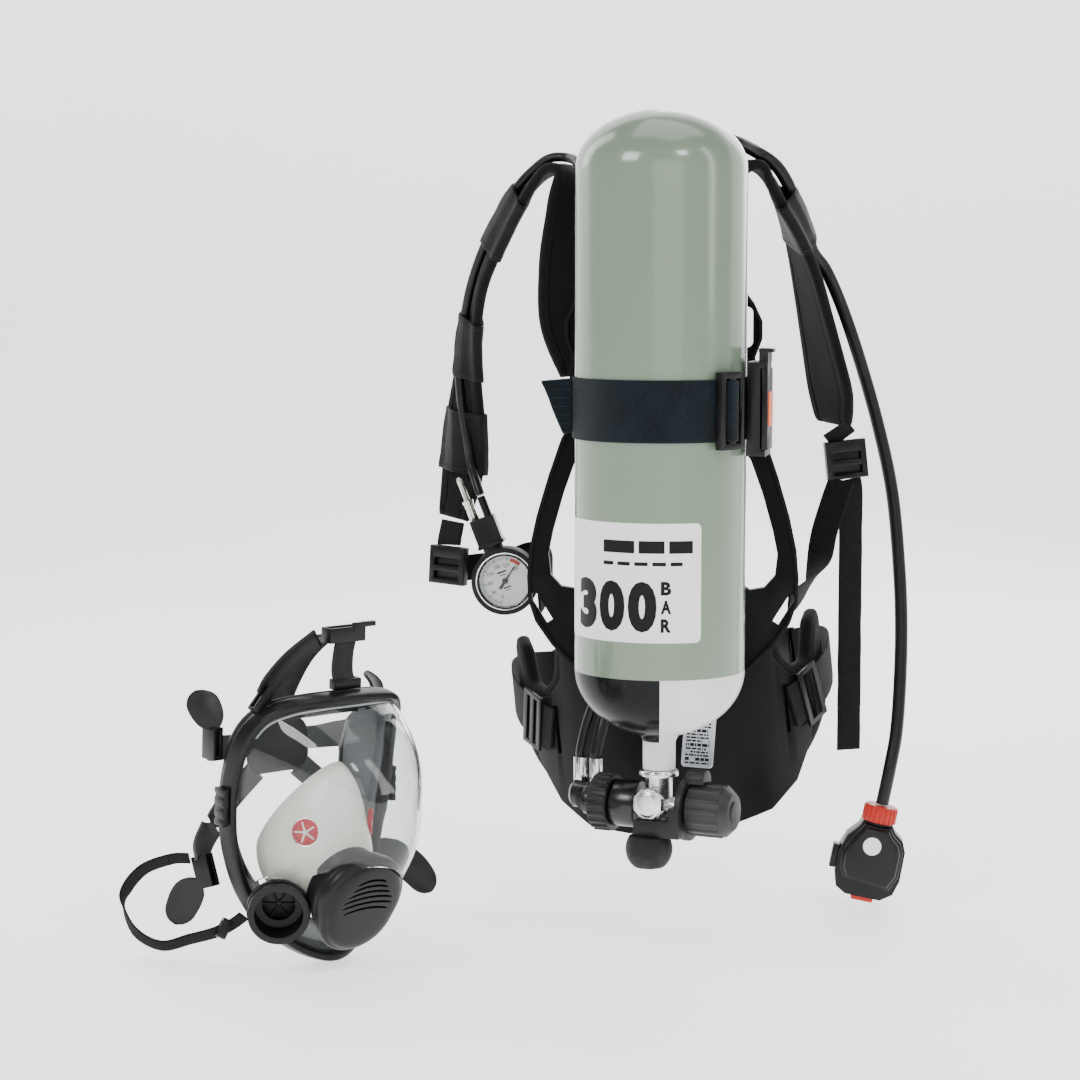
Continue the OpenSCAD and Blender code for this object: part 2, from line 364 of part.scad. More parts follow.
// ---- gauge and whistle ---------------------------------------------------------------------
module whistle_block() color([0.12, 0.12, 0.12]) place() gauge_at() difference() {
  union() { translate([-11, -9, 34]) cube([22, 18, 25]); translate([6, 0, 59]) cylinder(h = 18, r = 3.6); translate([-12, -10, 33]) cube([24, 20, 3]); }
  translate([0, 0, 32]) cylinder(h = 10, r = 4.05);
}
module whistle() color([0.8, 0.78, 0.72]) place() gauge_at() translate([-6.5, 0, 59.05]) { cylinder(h = 18, r = 4.3); translate([0, 0, 18]) cylinder(h = 20, r = 2.6); translate([0, 0, 38]) sphere(2.6); translate([0, 0, 16]) cylinder(h = 2.5, r = 5); }
module gauge_stem() color([0.75, 0.74, 0.7]) place() gauge_at() { translate([0, 0, 21]) cylinder(h = 20, r = 4); }
module gauge_boot() color([0.05, 0.05, 0.05]) place() gauge_at() difference() {
  union() { rotate([90, 0, 0]) translate([0, 0, -12]) cylinder(h = 24, r = 29.5); translate([0, 0, 22]) cylinder(h = 10.5, r = 9); }
  rotate([90, 0, 0]) translate([0, 0, 5]) cylinder(h = 20, r = 23.2);
  translate([0, 0, 19]) cylinder(h = 30, r = 4.05);
}
module gauge_dial() color([0.75, 0.77, 0.72]) place() gauge_at() rotate([90, 0, 0]) translate([0, 0, 5.1]) difference() { cylinder(h = 1, r = 23); translate([0, 0, -1]) cylinder(h = 4, r = 1.05); }
module gauge_lens() color([0.8, 0.9, 0.9, 0.3]) place() gauge_at() rotate([90, 0, 0]) translate([0, 0, 9]) cylinder(h = 1.8, r = 23.1);
NEEDLE = 32;
module gauge_needle() color([0.02, 0.02, 0.02]) place() gauge_at() rotate([0, NEEDLE - GTILT, 0]) rotate([90, 0, 0]) translate([0, 0, 6.4]) union() {
  translate([0, 0, -1.2]) cylinder(h = 1.2, r = 1); cylinder(h = 1.2, r = 2.6); translate([-0.7, -7, 0]) cube([1.4, 24, 0.9]); translate([-2, -8, 0]) cube([4, 5, 0.9]); }

// ---- demand valve -----------------------------------------------------------------------------
module bypass_ring() color([0.75, 0.1, 0.04]) place() dv_at() difference() {
  union() { translate([0, 0, -14]) cylinder(h = 13.9, r = 13.4); for (k = [0:19]) rotate(18 * k + 5) translate([13.3, 0, -13.6]) cylinder(h = 12.4, r = 1.4, $fn = 16); }
  translate([0, 0, -15]) cylinder(h = 12, r = 9.05);
}
DVB = [[-12.5, -15], [12.5, -15], [16, -21], [24, -27], [27.5, -35], [28, -60], [24.5, -73], [15, -80], [-15, -80], [-24, -75], [-27.5, -62], [-28, -44], [-23, -30], [-15, -21]];
module demand_body() color([0.13, 0.13, 0.13]) place() dv_at() difference() {
  union() {
    rotate([90, 0, 0]) translate([0, 0, -18]) linear_extrude(24) polygon(DVB);
    translate([0, 0, -15.5]) cylinder(h = 12.3, r = 9);
    translate([0, 0, -16]) cylinder(h = 1.6, r = 12.5);
  }
  box([-29, -5.2, -60.2], [-24.8, 7.2, -39.8]);
  translate([0, 19, -50]) rotate([90, 0, 0]) cylinder(h = 12, r = port_r - 3);
  box([-9.8, -4.8, -86], [9.8, 8.8, -74]);
}
module demand_cover() color([0.15, 0.15, 0.155]) place() dv_at() rotate([90, 0, 0]) {
  translate([0, 0, 6.1]) linear_extrude(8) polygon([[-12, -16.4], [12, -16.4], [15.5, -22], [23, -28], [26, -36], [26, -58], [20, -70], [-20, -66], [-25, -58], [-26, -44], [-21, -31], [-14.5, -22]]);
  translate([0, 0, 14]) linear_extrude(5, scale = 0.9) polygon([[-11, -16.5], [11, -16.5], [14, -23], [21, -30], [23, -38], [22, -56], [17, -64], [-19, -60], [-23, -54], [-23, -44], [-18, -32], [-13, -23]]);
}
module demand_spigot() color([0.08, 0.08, 0.08]) place() dv_at() translate([0, 18.1, -50]) rotate([-90, 0, 0]) difference() {
  union() { cylinder(h = 5, r = port_r + 4); cylinder(h = 22, r = port_r - 0.1); }
  translate([0, 0, -1]) cylinder(h = 30, r = port_r - 4);
}
module standby_button() color([0.75, 0.16, 0.07]) place() dv_at() box([-9.4, -4.4, -84], [9.4, 8.4, -77.4]);
module release_latch() color([0.06, 0.06, 0.06]) place() dv_at() union() { box([-33, -5, -60], [-28.4, 7, -40]); box([-29, -4.8, -59], [-27.8, 6.8, -41]); }

// ---- mask ---------------------------------------------------------------------------------------
// bezel loop: broad at the brow, narrow at the chin, its sides swept back
HALF = [[0, 8, 95], [26, 10, 94.5], [50, 18, 91], [67, 31, 81], [76, 43, 62], [80, 52, 34], [80, 57, 0], [76, 57, -30], [67, 53, -60], [54, 44, -84], [36, 32, -102], [18, 23, -112], [0, 20, -116]];
MSC = [mask_w / 160, 1, mask_h / 211];
RAWLOOP = [for (p = concat([for (i = [0:12]) HALF[i]], [for (i = [11:-1:1]) [-HALF[i][0], HALF[i][1], HALF[i][2]]])) [p[0] * MSC[0], p[1], p[2] * MSC[2]]];
MN = 48;
LOOP = [for (i = [0:23], k = [0, 0.5]) cr(RAWLOOP[(i + 23) % 24], RAWLOOP[i], RAWLOOP[(i + 1) % 24], RAWLOOP[(i + 2) % 24], k)];
// outward direction of the loop, in its own plane
function mo(k) = let (t = tangent_c(LOOP, k)) unit(cross(t, [0, 1, 0]));
// a closed band whose section is given as [outward, back] pairs
module band(S) torus_skin([for (k = [MN - 1:-1:0]) [for (s = S) LOOP[k] + mo(k) * s[0] + [0, s[1], 0]]]);
module mask_bezel() color([0.04, 0.04, 0.04]) place() mask_at() band([[-0.5, -8], [2.5, -7], [4, 6], [3, 9], [0.2, 9], [0.2, 1.4], [-6, 1.2], [-6, -4], [-3, -8]]);
module bezel_clamps() color([0.05, 0.05, 0.05]) place() mask_at() for (s = [-1, 1]) translate([s * (mask_w / 2 + 6.4), 57, 8]) rotate([0, 0, s * 4]) difference() {
  cube([5, 14, 30], center = true); for (z = [-9, 0, 9]) translate([s * 2.6, 0, z]) cube([2, 16, 3], center = true); }
// visor: a bulged sheet; r is how far towards the rim
VISOR = 58;
function vy(k, r) = lerp(-VISOR + 50 * pow(max(0, -LOOP[k][2]) * r / 116, 2), LOOP[k][1] + 2, pow(r, 2.9));
function vp(k, r, o) = [LOOP[k][0] * r + mo(k)[0] * o * min(1, 1.3 * r), vy(k, r) - o * (1.1 - 0.9 * r), LOOP[k][2] * r + mo(k)[2] * o * min(1, 1.3 * r)];
VR = [0.02, 0.2, 0.38, 0.53, 0.66, 0.77, 0.86, 0.93, 0.97];
module visor_sheet(o, i) {
  n = len(VR);
  // an outer and an inner skin joined at the rim
  rings = concat([for (a = [0:n - 1]) [for (k = [0:MN - 1]) vp(k, VR[a], o)]], [for (a = [n - 1:-1:0]) [for (k = [0:MN - 1]) vp(k, VR[a], i)]]);
  m = MN; N = len(rings);
  polyhedron(points = [for (r = rings) each r], faces = concat(
    [for (a = [0:N - 2], j = [0:m - 1]) each let (p = a * m + j, q = a * m + (j + 1) % m) [[p, p + m, q], [q, p + m, q + m]]],
    [for (j = [1:m - 2]) [0, j, j + 1]], [for (j = [1:m - 2]) [(N - 1) * m, (N - 1) * m + j + 1, (N - 1) * m + j]]), convexity = 10);
}
module at_speech() translate([-12, -20.5, -53]) rotate([20, 0, 0]) rotate([90, 0, 0]) children();
module at_port() translate([-54, 17, -67]) rotate([0, 0, -35]) rotate([6, 0, 0]) rotate([90, 0, 0]) children();
module mask_visor() color([0.85, 0.9, 0.92, 0.3]) place() mask_at() difference() {
  visor_sheet(-0.6, -3);
  at_speech() { translate([0, 0, -40]) cylinder(h = 80, r = 33.2); translate([0, 0, 0.4]) cylinder(h = 60, r = 38.4);
    translate([0, 0, 7.7]) linear_extrude(50) hull() { translate([0, 2]) circle(39); translate([0, -10]) circle(35.5); } }
  at_port() { translate([0, 0, -1.1]) cylinder(h = 40, r = 23.2); translate([0, 0, 4.8]) cylinder(h = 40, r = 25.3); translate([0, 0, -16.2]) cylinder(h = 15.2, r1 = 16.2, r2 = 23.2); }
}
function seal_y(k, d) = let (z = LOOP[k][2]) d * (z > 40 ? 1 : 1 - 0.2 * (40 - z) / 156);
module seal_band(S) torus_skin([for (k = [MN - 1:-1:0]) let (up = max(0, LOOP[k][2] - 40) / 55) [for (s = S) LOOP[k] + mo(k) * (s[0] + (s[1] > 12 ? min(5, 0.9 * (s[1] - 12)) * up : 0)) + [0, s[1] < 12 ? s[1] : seal_y(k, s[1]), 0]]]);
module face_seal() color([0.2, 0.2, 0.21]) place() mask_at() seal_band([[-6.2, 1.6], [-0.6, 1.8], [-0.4, 9.4], [1, 9.4], [0.6, 14], [-4, 21], [-10, 28], [-16, 33], [-21, 34.5], [-26, 33.5], [-25.4, 31.7], [-21, 32.6], [-17, 30.8], [-12.5, 26], [-7.2, 19.5], [-4.6, 12.4], [-6.2, 11]]);
// nose cup: an open shell from the face to the front of the visor
function nc(k, s) = let (t = 360 * k / 28, c = cos(t), q = sin(t), n = 1 - 0.42 * pow(max(0, q), 1.5))
    s == 0 ? [46 * c * n, 54 + 6 * abs(c) - 36 * pow(max(0, q), 1.3), -28 + (q > 0 ? 70 : 52) * q]
  : s == 1 ? [44 * c * n, 38 - 27 * pow(max(0, q), 1.3), -30 + (q > 0 ? 66 : 50) * q]
  : s == 2 ? [38 * c * n - 3, 16 - 14 * max(0, q), -38 + (q > 0 ? 53 : 40) * q]
  : s == 3 ? [31 * c - 5, 3 - 9 * q, -47 + (q > 0 ? 35 : 30) * q]
  : [26 * c - 6, -5.2 - 9.4 * q, -49 + 24.5 * q];
function nin(k, s) = let (c = [-6, nc(k, s)[1] + 6, -52], v = nc(k, s) - c) c + v * (1 - 2.2 / max(8, norm(v))) + [0, 0, 0];
module inner_mask() color([0.88, 0.87, 0.8, 0.8]) place() mask_at() difference() {
  torus_skin([for (k = [0:27]) concat([for (s = [0:4]) nc(27 - k, s)], [for (s = [4:-1:0]) nin(27 - k, s)])]);
  for (s = [-1, 1]) at_inhale(s) cylinder(h = 24, r = 10.8, center = true);
}
module at_inhale(s) translate([s * 30, 16, -10]) rotate([0, 0, s * 50]) rotate([90, 0, 0]) children();
module inhale_valves() color([0.75, 0.05, 0.08]) place() mask_at() for (s = [-1, 1]) at_inhale(s) difference() {
  translate([0, 0, 0]) cylinder(h = 4, r = 10.5);
  for (k = [0:4]) rotate(72 * k) translate([5.8, 0, 0]) cylinder(h = 20, r = 2.5, center = true);
}
module speech_housing() color([0.05, 0.05, 0.05]) place() mask_at() at_speech() difference() {
  union() { translate([0, 0, -14]) cylinder(h = 22, r = 32.8); translate([0, 0, 1]) cylinder(h = 6, r = 38); }
  translate([0, 0, -17]) cylinder(h = 22, r = 27.2);
  for (x = [-12, 0, 12], y = [-12, 0, 12]) translate([x, y, 0]) cylinder(h = 40, r = 3, center = true);
}
module speech_cover() color([0.12, 0.13, 0.13]) place() mask_at() at_speech() difference() {
  union() { translate([0, 0, 8.1]) linear_extrude(8, scale = 0.94) hull() { translate([0, 2]) circle(38.5); translate([0, -10]) circle(35); }
    translate([0, 0, 16.1]) linear_extrude(5, scale = 0.8) hull() { translate([0, 2]) circle(36); translate([0, -9]) circle(33); } }
  translate([0, 0, 7]) cylinder(h = 8, r = 29);
  for (y = [3, 9, 15, 21]) translate([0, y, 15]) cube([44 - abs(y - 6) * 0.9, 2.4, 18], center = true);
}
module mask_port() color([0.05, 0.05, 0.05]) place() mask_at() at_port() difference() {
  union() { translate([0, 0, -1]) cylinder(h = 19, r = 23); translate([0, 0, -16]) cylinder(h = 15.1, r1 = 16, r2 = 23); translate([0, 0, 5]) cylinder(h = 4, r = 25); translate([0, 0, 14]) cylinder(h = 4, r = 24.2); }
  translate([0, 0, -4]) cylinder(h = 30, r = port_r);
  translate([0, 0, -30]) cylinder(h = 30, r = port_r - 6);
}
HW = 20; // width of a harness strap
module hs(P, D, w = HW, t = 2.4) strap(spline(P, 5), spline(D, 5), w, t);
RIM = mask_w / 2 + 3;
module harness_half(s) {
  // temple and cheek straps to the rear pad, and their free paddle ends
  hs([[s * (RIM - 1), 84, 50], [s * 70, 94, 46], [s * 50, 98, 44], [s * 27, 99, 43]], [[0, 0.3, 1], [0, 0.2, 1], [0, 0, 1], [0, 0, 1]]);
  hs([[s * (RIM - 2), 90, -44], [s * 72, 96, -30], [s * 50, 99, -4], [s * 20, 99.5, 22]], [[0.4 * s, 0.2, 1], [0.5 * s, 0.1, 0.9], [0.8, 0, 0.6 * s], [0.9, 0, 0.4 * s]]);
  strap(spline([[s * RIM, 71, 66], [s * (RIM + 3), 76, 76], [s * (RIM + 5), 84, 86], [s * (RIM + 5), 94, 93]], 4), [for (i = [0:12]) [-0.77 * s, -0.64, 0]], [for (i = [0:12]) 15 + 11 * sin(i * 13)], 2.4);
}
module head_harness() color([0.1, 0.1, 0.105]) place() mask_at() { harness_half(1); harness_half(-1);
  strap(spline([[-RIM - 1, 93, -58], [-RIM - 3, 98, -66], [-RIM - 6, 104, -80], [-RIM - 8, 112, -98]], 4), [for (i = [0:12]) [0.77, -0.64, 0.1]], [for (i = [0:12]) 13 + 14 * sin(i * 13)], 2.4);
  strap(spline([[RIM + 6, 72, -46], [RIM + 13, 58, -54], [RIM + 22, 44, -66], [RIM + 30, 32, -82]], 4), [for (i = [0:12]) [0.3, 0.4, 0.9]], [for (i = [0:12]) 13 + 14 * sin(i * 13)], 2.4);
  // brow strap and the left temple's second strap, folded up over the brow
  hs([[8, 22.5, 104], [8, 26, 112], [11, 29, 126], [15, 31, 137]], [[1, 0, 0], [1, 0, 0], [1, 0.1, 0], [1, 0.1, 0]]);
  hs([[-58, 38, 96], [-50, 40, 106], [-32, 40, 122], [-8, 37, 138]], [[0.75, 0.1, -0.65], [0.7, 0.1, -0.7], [0.65, 0.1, -0.75], [0.6, 0.1, -0.8]], 17);
  // from the crown down to the rear pad, which hangs behind the face opening
  hs([[14, 40, 138], [12, 56, 134], [6, 80, 112], [0, 96, 80], [0, 99.5, 60]], [[1, 0, 0], [1, 0, 0], [1, 0, 0], [1, 0, 0], [1, 0, 0]], 24);
  translate([0, 99.5, 40]) rotate([90, 0, 0]) linear_extrude(3, center = true) rounded(58, 44, 14); }
module loop_buckle(w, h, t) difference() { cube([w, t, h], center = true); cube([w + 2, 3.4, h - 4.4], center = true); }
module harness_buckles() color([0.04, 0.04, 0.04]) place() mask_at() {
  for (s = [-1, 1]) translate([s * RIM, 76, 55]) rotate([0, 0, s * 88]) loop_buckle(16, 26, 9);
  translate([-RIM + 1, 84, -50]) rotate([0, -20, -76]) loop_buckle(16, 26, 9);
  translate([RIM, 78, -42]) rotate([0, 12, 76]) loop_buckle(16, 26, 9);
  translate([8, 21.5, 103]) rotate([0, 90, 0]) loop_buckle(8, 25, 9);
  translate([-60, 37.5, 94]) rotate([0, -50, 0]) rotate([0, 90, 0]) loop_buckle(8, 23, 9);
  translate([14, 33.5, 140]) difference() { union() { cube([34, 13, 12], center = true); translate([16, -4, 7]) cube([22, 5, 4], center = true); } cube([30, 7, 20], center = true); }
}
NECK = [[-57, 60, -84], [-63, 68, -92], [-70, 80, -100], [-82, 98, -108], [-98, 116, -115], [-113, 132, -104], [-119, 138, -78], [-112, 124, -54], [-98, 104, -42], [-88, 92, -40]];
module neck_strap() color([0.08, 0.08, 0.08]) place() mask_at() {
  strap(spline(NECK, 4), [for (i = [0:36]) [-0.35, -0.3, 0.85]], 11, 2);
  translate([-66.5, 74, -96]) rotate([0, 30, 58]) loop_buckle(18, 16, 8);
}

backplate();
cradle_pads();
plate_screws();
cylinder_shell();
valve_body();
valve_plug();
valve_guard();
bumper_foot();
outlet_collar();
reducer_body();
hose_ferrules();
data_plate();
cylinder_strap();
buckle_base();
buckle_pin();
gauge_hose();
supply_hose_upper();
supply_hose();
shoulder_pad_left();
shoulder_pad_right();
hose_sleeves();
shoulder_buckles();
shoulder_webbing();
lower_webbing();
swivel_pin();
whistle_block();
whistle();
lumbar_shell();
hip_pad();
belt_webbing();
belt_sliders();
belt_buckle();
handwheel();
valve_spindle();
coupling_wheel();
buckle_lever();
buckle_mark();
gauge_boot();
gauge_dial();
gauge_lens();
gauge_stem();
gauge_needle();
demand_body();
demand_cover();
demand_spigot();
bypass_ring();
standby_button();
release_latch();
mask_bezel();
bezel_clamps();
mask_visor();
face_seal();
inner_mask();
inhale_valves();
speech_housing();
speech_cover();
mask_port();
head_harness();
harness_buckles();
neck_strap();
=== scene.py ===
import json
import math
import bpy
import bmesh
import numpy as np
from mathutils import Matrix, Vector, noise


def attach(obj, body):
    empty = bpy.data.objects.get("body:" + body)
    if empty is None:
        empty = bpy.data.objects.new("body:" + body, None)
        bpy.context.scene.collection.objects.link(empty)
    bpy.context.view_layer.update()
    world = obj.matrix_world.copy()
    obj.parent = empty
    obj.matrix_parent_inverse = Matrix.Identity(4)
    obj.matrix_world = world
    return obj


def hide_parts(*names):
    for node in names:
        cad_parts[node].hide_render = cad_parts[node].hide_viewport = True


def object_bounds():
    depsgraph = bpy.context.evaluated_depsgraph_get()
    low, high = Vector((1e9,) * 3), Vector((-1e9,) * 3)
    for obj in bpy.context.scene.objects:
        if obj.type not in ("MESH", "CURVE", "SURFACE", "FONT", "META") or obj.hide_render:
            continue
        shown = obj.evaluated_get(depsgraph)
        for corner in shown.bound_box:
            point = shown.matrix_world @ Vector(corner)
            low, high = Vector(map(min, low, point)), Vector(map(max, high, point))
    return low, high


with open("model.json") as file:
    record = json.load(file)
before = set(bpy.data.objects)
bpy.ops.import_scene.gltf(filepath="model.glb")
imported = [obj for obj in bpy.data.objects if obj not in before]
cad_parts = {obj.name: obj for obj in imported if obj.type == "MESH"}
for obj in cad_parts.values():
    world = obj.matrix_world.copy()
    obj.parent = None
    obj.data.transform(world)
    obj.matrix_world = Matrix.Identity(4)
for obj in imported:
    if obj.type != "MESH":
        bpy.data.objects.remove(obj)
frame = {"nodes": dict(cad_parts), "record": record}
CAD_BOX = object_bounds()
NODE = frame["nodes"]
BODY = {n: b for b, ns in frame["record"]["behaviour"]["bodies"].items() for n in ns}
HOOK = np.array([0.0, 80.0, 466.0])
COL = bpy.context.scene.collection


def R(p):
    return (np.asarray(p, float) - HOOK) / 1000.0


# ---------------------------------------------------------------- camera and light
cam = bpy.data.objects.new("camera", bpy.data.cameras.new("camera"))
COL.objects.link(cam)
cam.location = (0.06840, -2.46876, -0.05746)
cam.rotation_euler = (math.radians(84.2), 0, math.radians(4))
cam.data.lens = 97.6
cam.data.sensor_width = 36
cam.data.clip_end = 50
bpy.context.scene.camera = cam


def light(name, loc, aim, size, power, color=(1, 1, 1)):
    d = bpy.data.lights.new(name, "AREA")
    d.shape = "RECTANGLE"
    d.size, d.size_y = size
    d.energy = power
    d.color = color
    o = bpy.data.objects.new(name, d)
    COL.objects.link(o)
    o.location = loc
    o.rotation_euler = (Vector(aim) - Vector(loc)).to_track_quat("-Z", "Y").to_euler()
    return o


light("key", (-1.7, -1.9, 1.3), (0, 0, -0.2), (1.0, 1.0), 44)
light("key_right", (1.25, -2.0, 1.75), (0, 0, -0.1), (0.55, 0.55), 20)
light("rim_right", (1.9, -0.7, 0.7), (0, 0, -0.2), (0.35, 1.9), 11)
light("rim_left", (-1.6, 0.9, 0.9), (0, 0, -0.2), (0.6, 1.8), 14)
light("front_fill", (0.5, -2.6, 0.3), (0, 0, -0.3), (1.8, 1.2), 12)
light("top", (0.1, 0.2, 1.9), (0, 0, -0.2), (1.6, 1.6), 18)
light("back_fill", (0.7, 2.0, 0.5), (0, 0, -0.2), (1.6, 1.6), 20)
world = bpy.data.worlds.new("world")
bpy.context.scene.world = world
world.use_nodes = True
world.node_tree.nodes["Background"].inputs[0].default_value = (0.93, 0.94, 0.95, 1)
world.node_tree.nodes["Background"].inputs[1].default_value = 0.34


# ---------------------------------------------------------------- curves in working millimetres
def spline(P, n):
    P = np.asarray(P, float)
    m = len(P)
    out = []
    for i in range(m - 1):
        a, b, c, d = P[max(i - 1, 0)], P[i], P[i + 1], P[min(i + 2, m - 1)]
        for k in range(n):
            t = k / n
            out.append(0.5 * (2 * b + (c - a) * t + (2 * a - 5 * b + 4 * c - d) * t * t + (3 * b - a - 3 * c + d) * t ** 3))
    out.append(P[-1])
    return np.array(out)


def unit(v):
    v = np.asarray(v, float)
    return v / max(1e-9, np.linalg.norm(v))


def frames(P, D):
    """tangent, width direction and normal at each point"""
    n = len(P)
    T, W, U = [], [], []
    for i in range(n):
        t = unit(P[min(i + 1, n - 1)] - P[max(i - 1, 0)])
        d = D[i] - np.dot(D[i], t) * t
        d = unit(d)
        T.append(t); W.append(d); U.append(np.cross(t, d))
    return np.array(T), np.array(W), np.array(U)


def arc(P):
    return np.concatenate([[0], np.cumsum(np.linalg.norm(np.diff(P, axis=0), axis=1))])


def nz(p, s, seed=0.0):
    return noise.noise(Vector((p[0] / s + seed, p[1] / s - seed, p[2] / s + 2 * seed)))


# ---------------------------------------------------------------- mesh makers
def make(name, V, F, mat, body, uv=None, smooth=True, replaces=(), sharp=None, recalc=True):
    me = bpy.data.meshes.new(name)
    me.from_pydata([tuple(v) for v in R(V)], [], [list(map(int, f)) for f in F])
    if uv is not None:
        lay = me.uv_layers.new(name="UVMap")
        flat = [c for f in uv for c in f]
        for i, c in enumerate(flat):
            lay.data[i].uv = c
    if recalc:
        bm = bmesh.new(); bm.from_mesh(me)
        bmesh.ops.recalc_face_normals(bm, faces=bm.faces)
        bm.to_mesh(me); bm.free()
    me.polygons.foreach_set("use_smooth", [smooth] * len(me.polygons))
    if sharp is not None:
        me.set_sharp_from_angle(angle=math.radians(sharp))
    me.update()
    o = bpy.data.objects.new(name, me)
    COL.objects.link(o)
    if mat is not None:
        me.materials.append(mat)
    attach(o, body)
    if replaces:
        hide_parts(*replaces)
    return o


def loft_data(rings, closed=False, caps=True, U=None, Vp=None):
    rings = np.asarray(rings, float)
    n, m = rings.shape[:2]
    V = rings.reshape(-1, 3)
    F, UV = [], []
    if U is None:
        U = np.concatenate([[0], np.cumsum(np.linalg.norm(np.diff(rings[:, 0], axis=0), axis=1))])
        if closed:
            U = np.append(U, U[-1] + np.linalg.norm(rings[0, 0] - rings[-1, 0]))
    elif closed and len(U) == n:
        U = np.append(U, U[-1] + np.linalg.norm(rings[0, 0] - rings[-1, 0]))
    if Vp is None:
        mid = rings[n // 2]
        Vp = np.concatenate([[0], np.cumsum(np.linalg.norm(np.diff(np.vstack([mid, mid[:1]]), axis=0), axis=1))])
    for i in range(n if closed else n - 1):
        e = (i + 1) % n
        for j in range(m):
            k = (j + 1) % m
            F.append([i * m + j, e * m + j, e * m + k, i * m + k])
            UV.append([(U[i], Vp[j]), (U[i + 1], Vp[j]), (U[i + 1], Vp[j + 1]), (U[i], Vp[j + 1])])
    if caps and not closed:
        F.append([j for j in range(m)]); UV.append([(U[0], Vp[j]) for j in range(m)])
        F.append([(n - 1) * m + j for j in range(m - 1, -1, -1)]); UV.append([(U[-1], Vp[j]) for j in range(m - 1, -1, -1)])
    return V, F, UV


def loft(name, rings, mat, body, closed=False, caps=True, U=None, Vp=None, **kw):
    V, F, UV = loft_data(rings, closed, caps, U, Vp)
    return make(name, V, F, mat, body, uv=UV, **kw)


def join_data(parts):
    V, F, UV = [], [], []
    off = 0
    for v, f, u in parts:
        V.append(np.asarray(v, float))
        F += [[i + off for i in q] for q in f]
        UV += u
        off += len(v)
    return np.vstack(V), F, UV


def sec_web(w, t, k=4, across=7):
    """rounded strap section as (along width, along thickness)"""
    r = t / 2
    pts = [(x, r) for x in np.linspace(-w / 2 + r, w / 2 - r, across)]
    pts += [(w / 2 - r + r * math.sin(a), r * math.cos(a)) for a in np.linspace(0, math.pi, k + 2)[1:-1]]
    pts += [(x, -r) for x in np.linspace(w / 2 - r, -w / 2 + r, across)]
    pts += [(-w / 2 + r - r * math.sin(a), -r * math.cos(a)) for a in np.linspace(0, math.pi, k + 2)[1:-1]]
    return np.array(pts)


def sweep(P, D, sec, L=0.0):
    """rings of a section swept along P; sec is one section or a function of the ring number"""
    T, W, U = frames(P, D)
    out = []
    for i in range(len(P)):
        s = sec(i) if callable(sec) else sec
        out.append(P[i] + U[i] * L + s[:, :1] * W[i] + s[:, 1:] * U[i])
    return np.array(out)


def tube_rings(P, r, m=20, up=(0.3, 1, 0.1)):
    n = len(P)
    T = [unit(P[min(i + 1, n - 1)] - P[max(i - 1, 0)]) for i in range(n)]
    a = unit(np.cross(T[0], up))
    out = []
    for i in range(n):
        a = unit(a - np.dot(a, T[i]) * T[i])
        b = np.cross(T[i], a)
        rr = r(i) if callable(r) else r
        out.append([P[i] + rr * (math.cos(q) * a + math.sin(q) * b) for q in np.linspace(0, 2 * math.pi, m, endpoint=False)])
    return np.array(out)


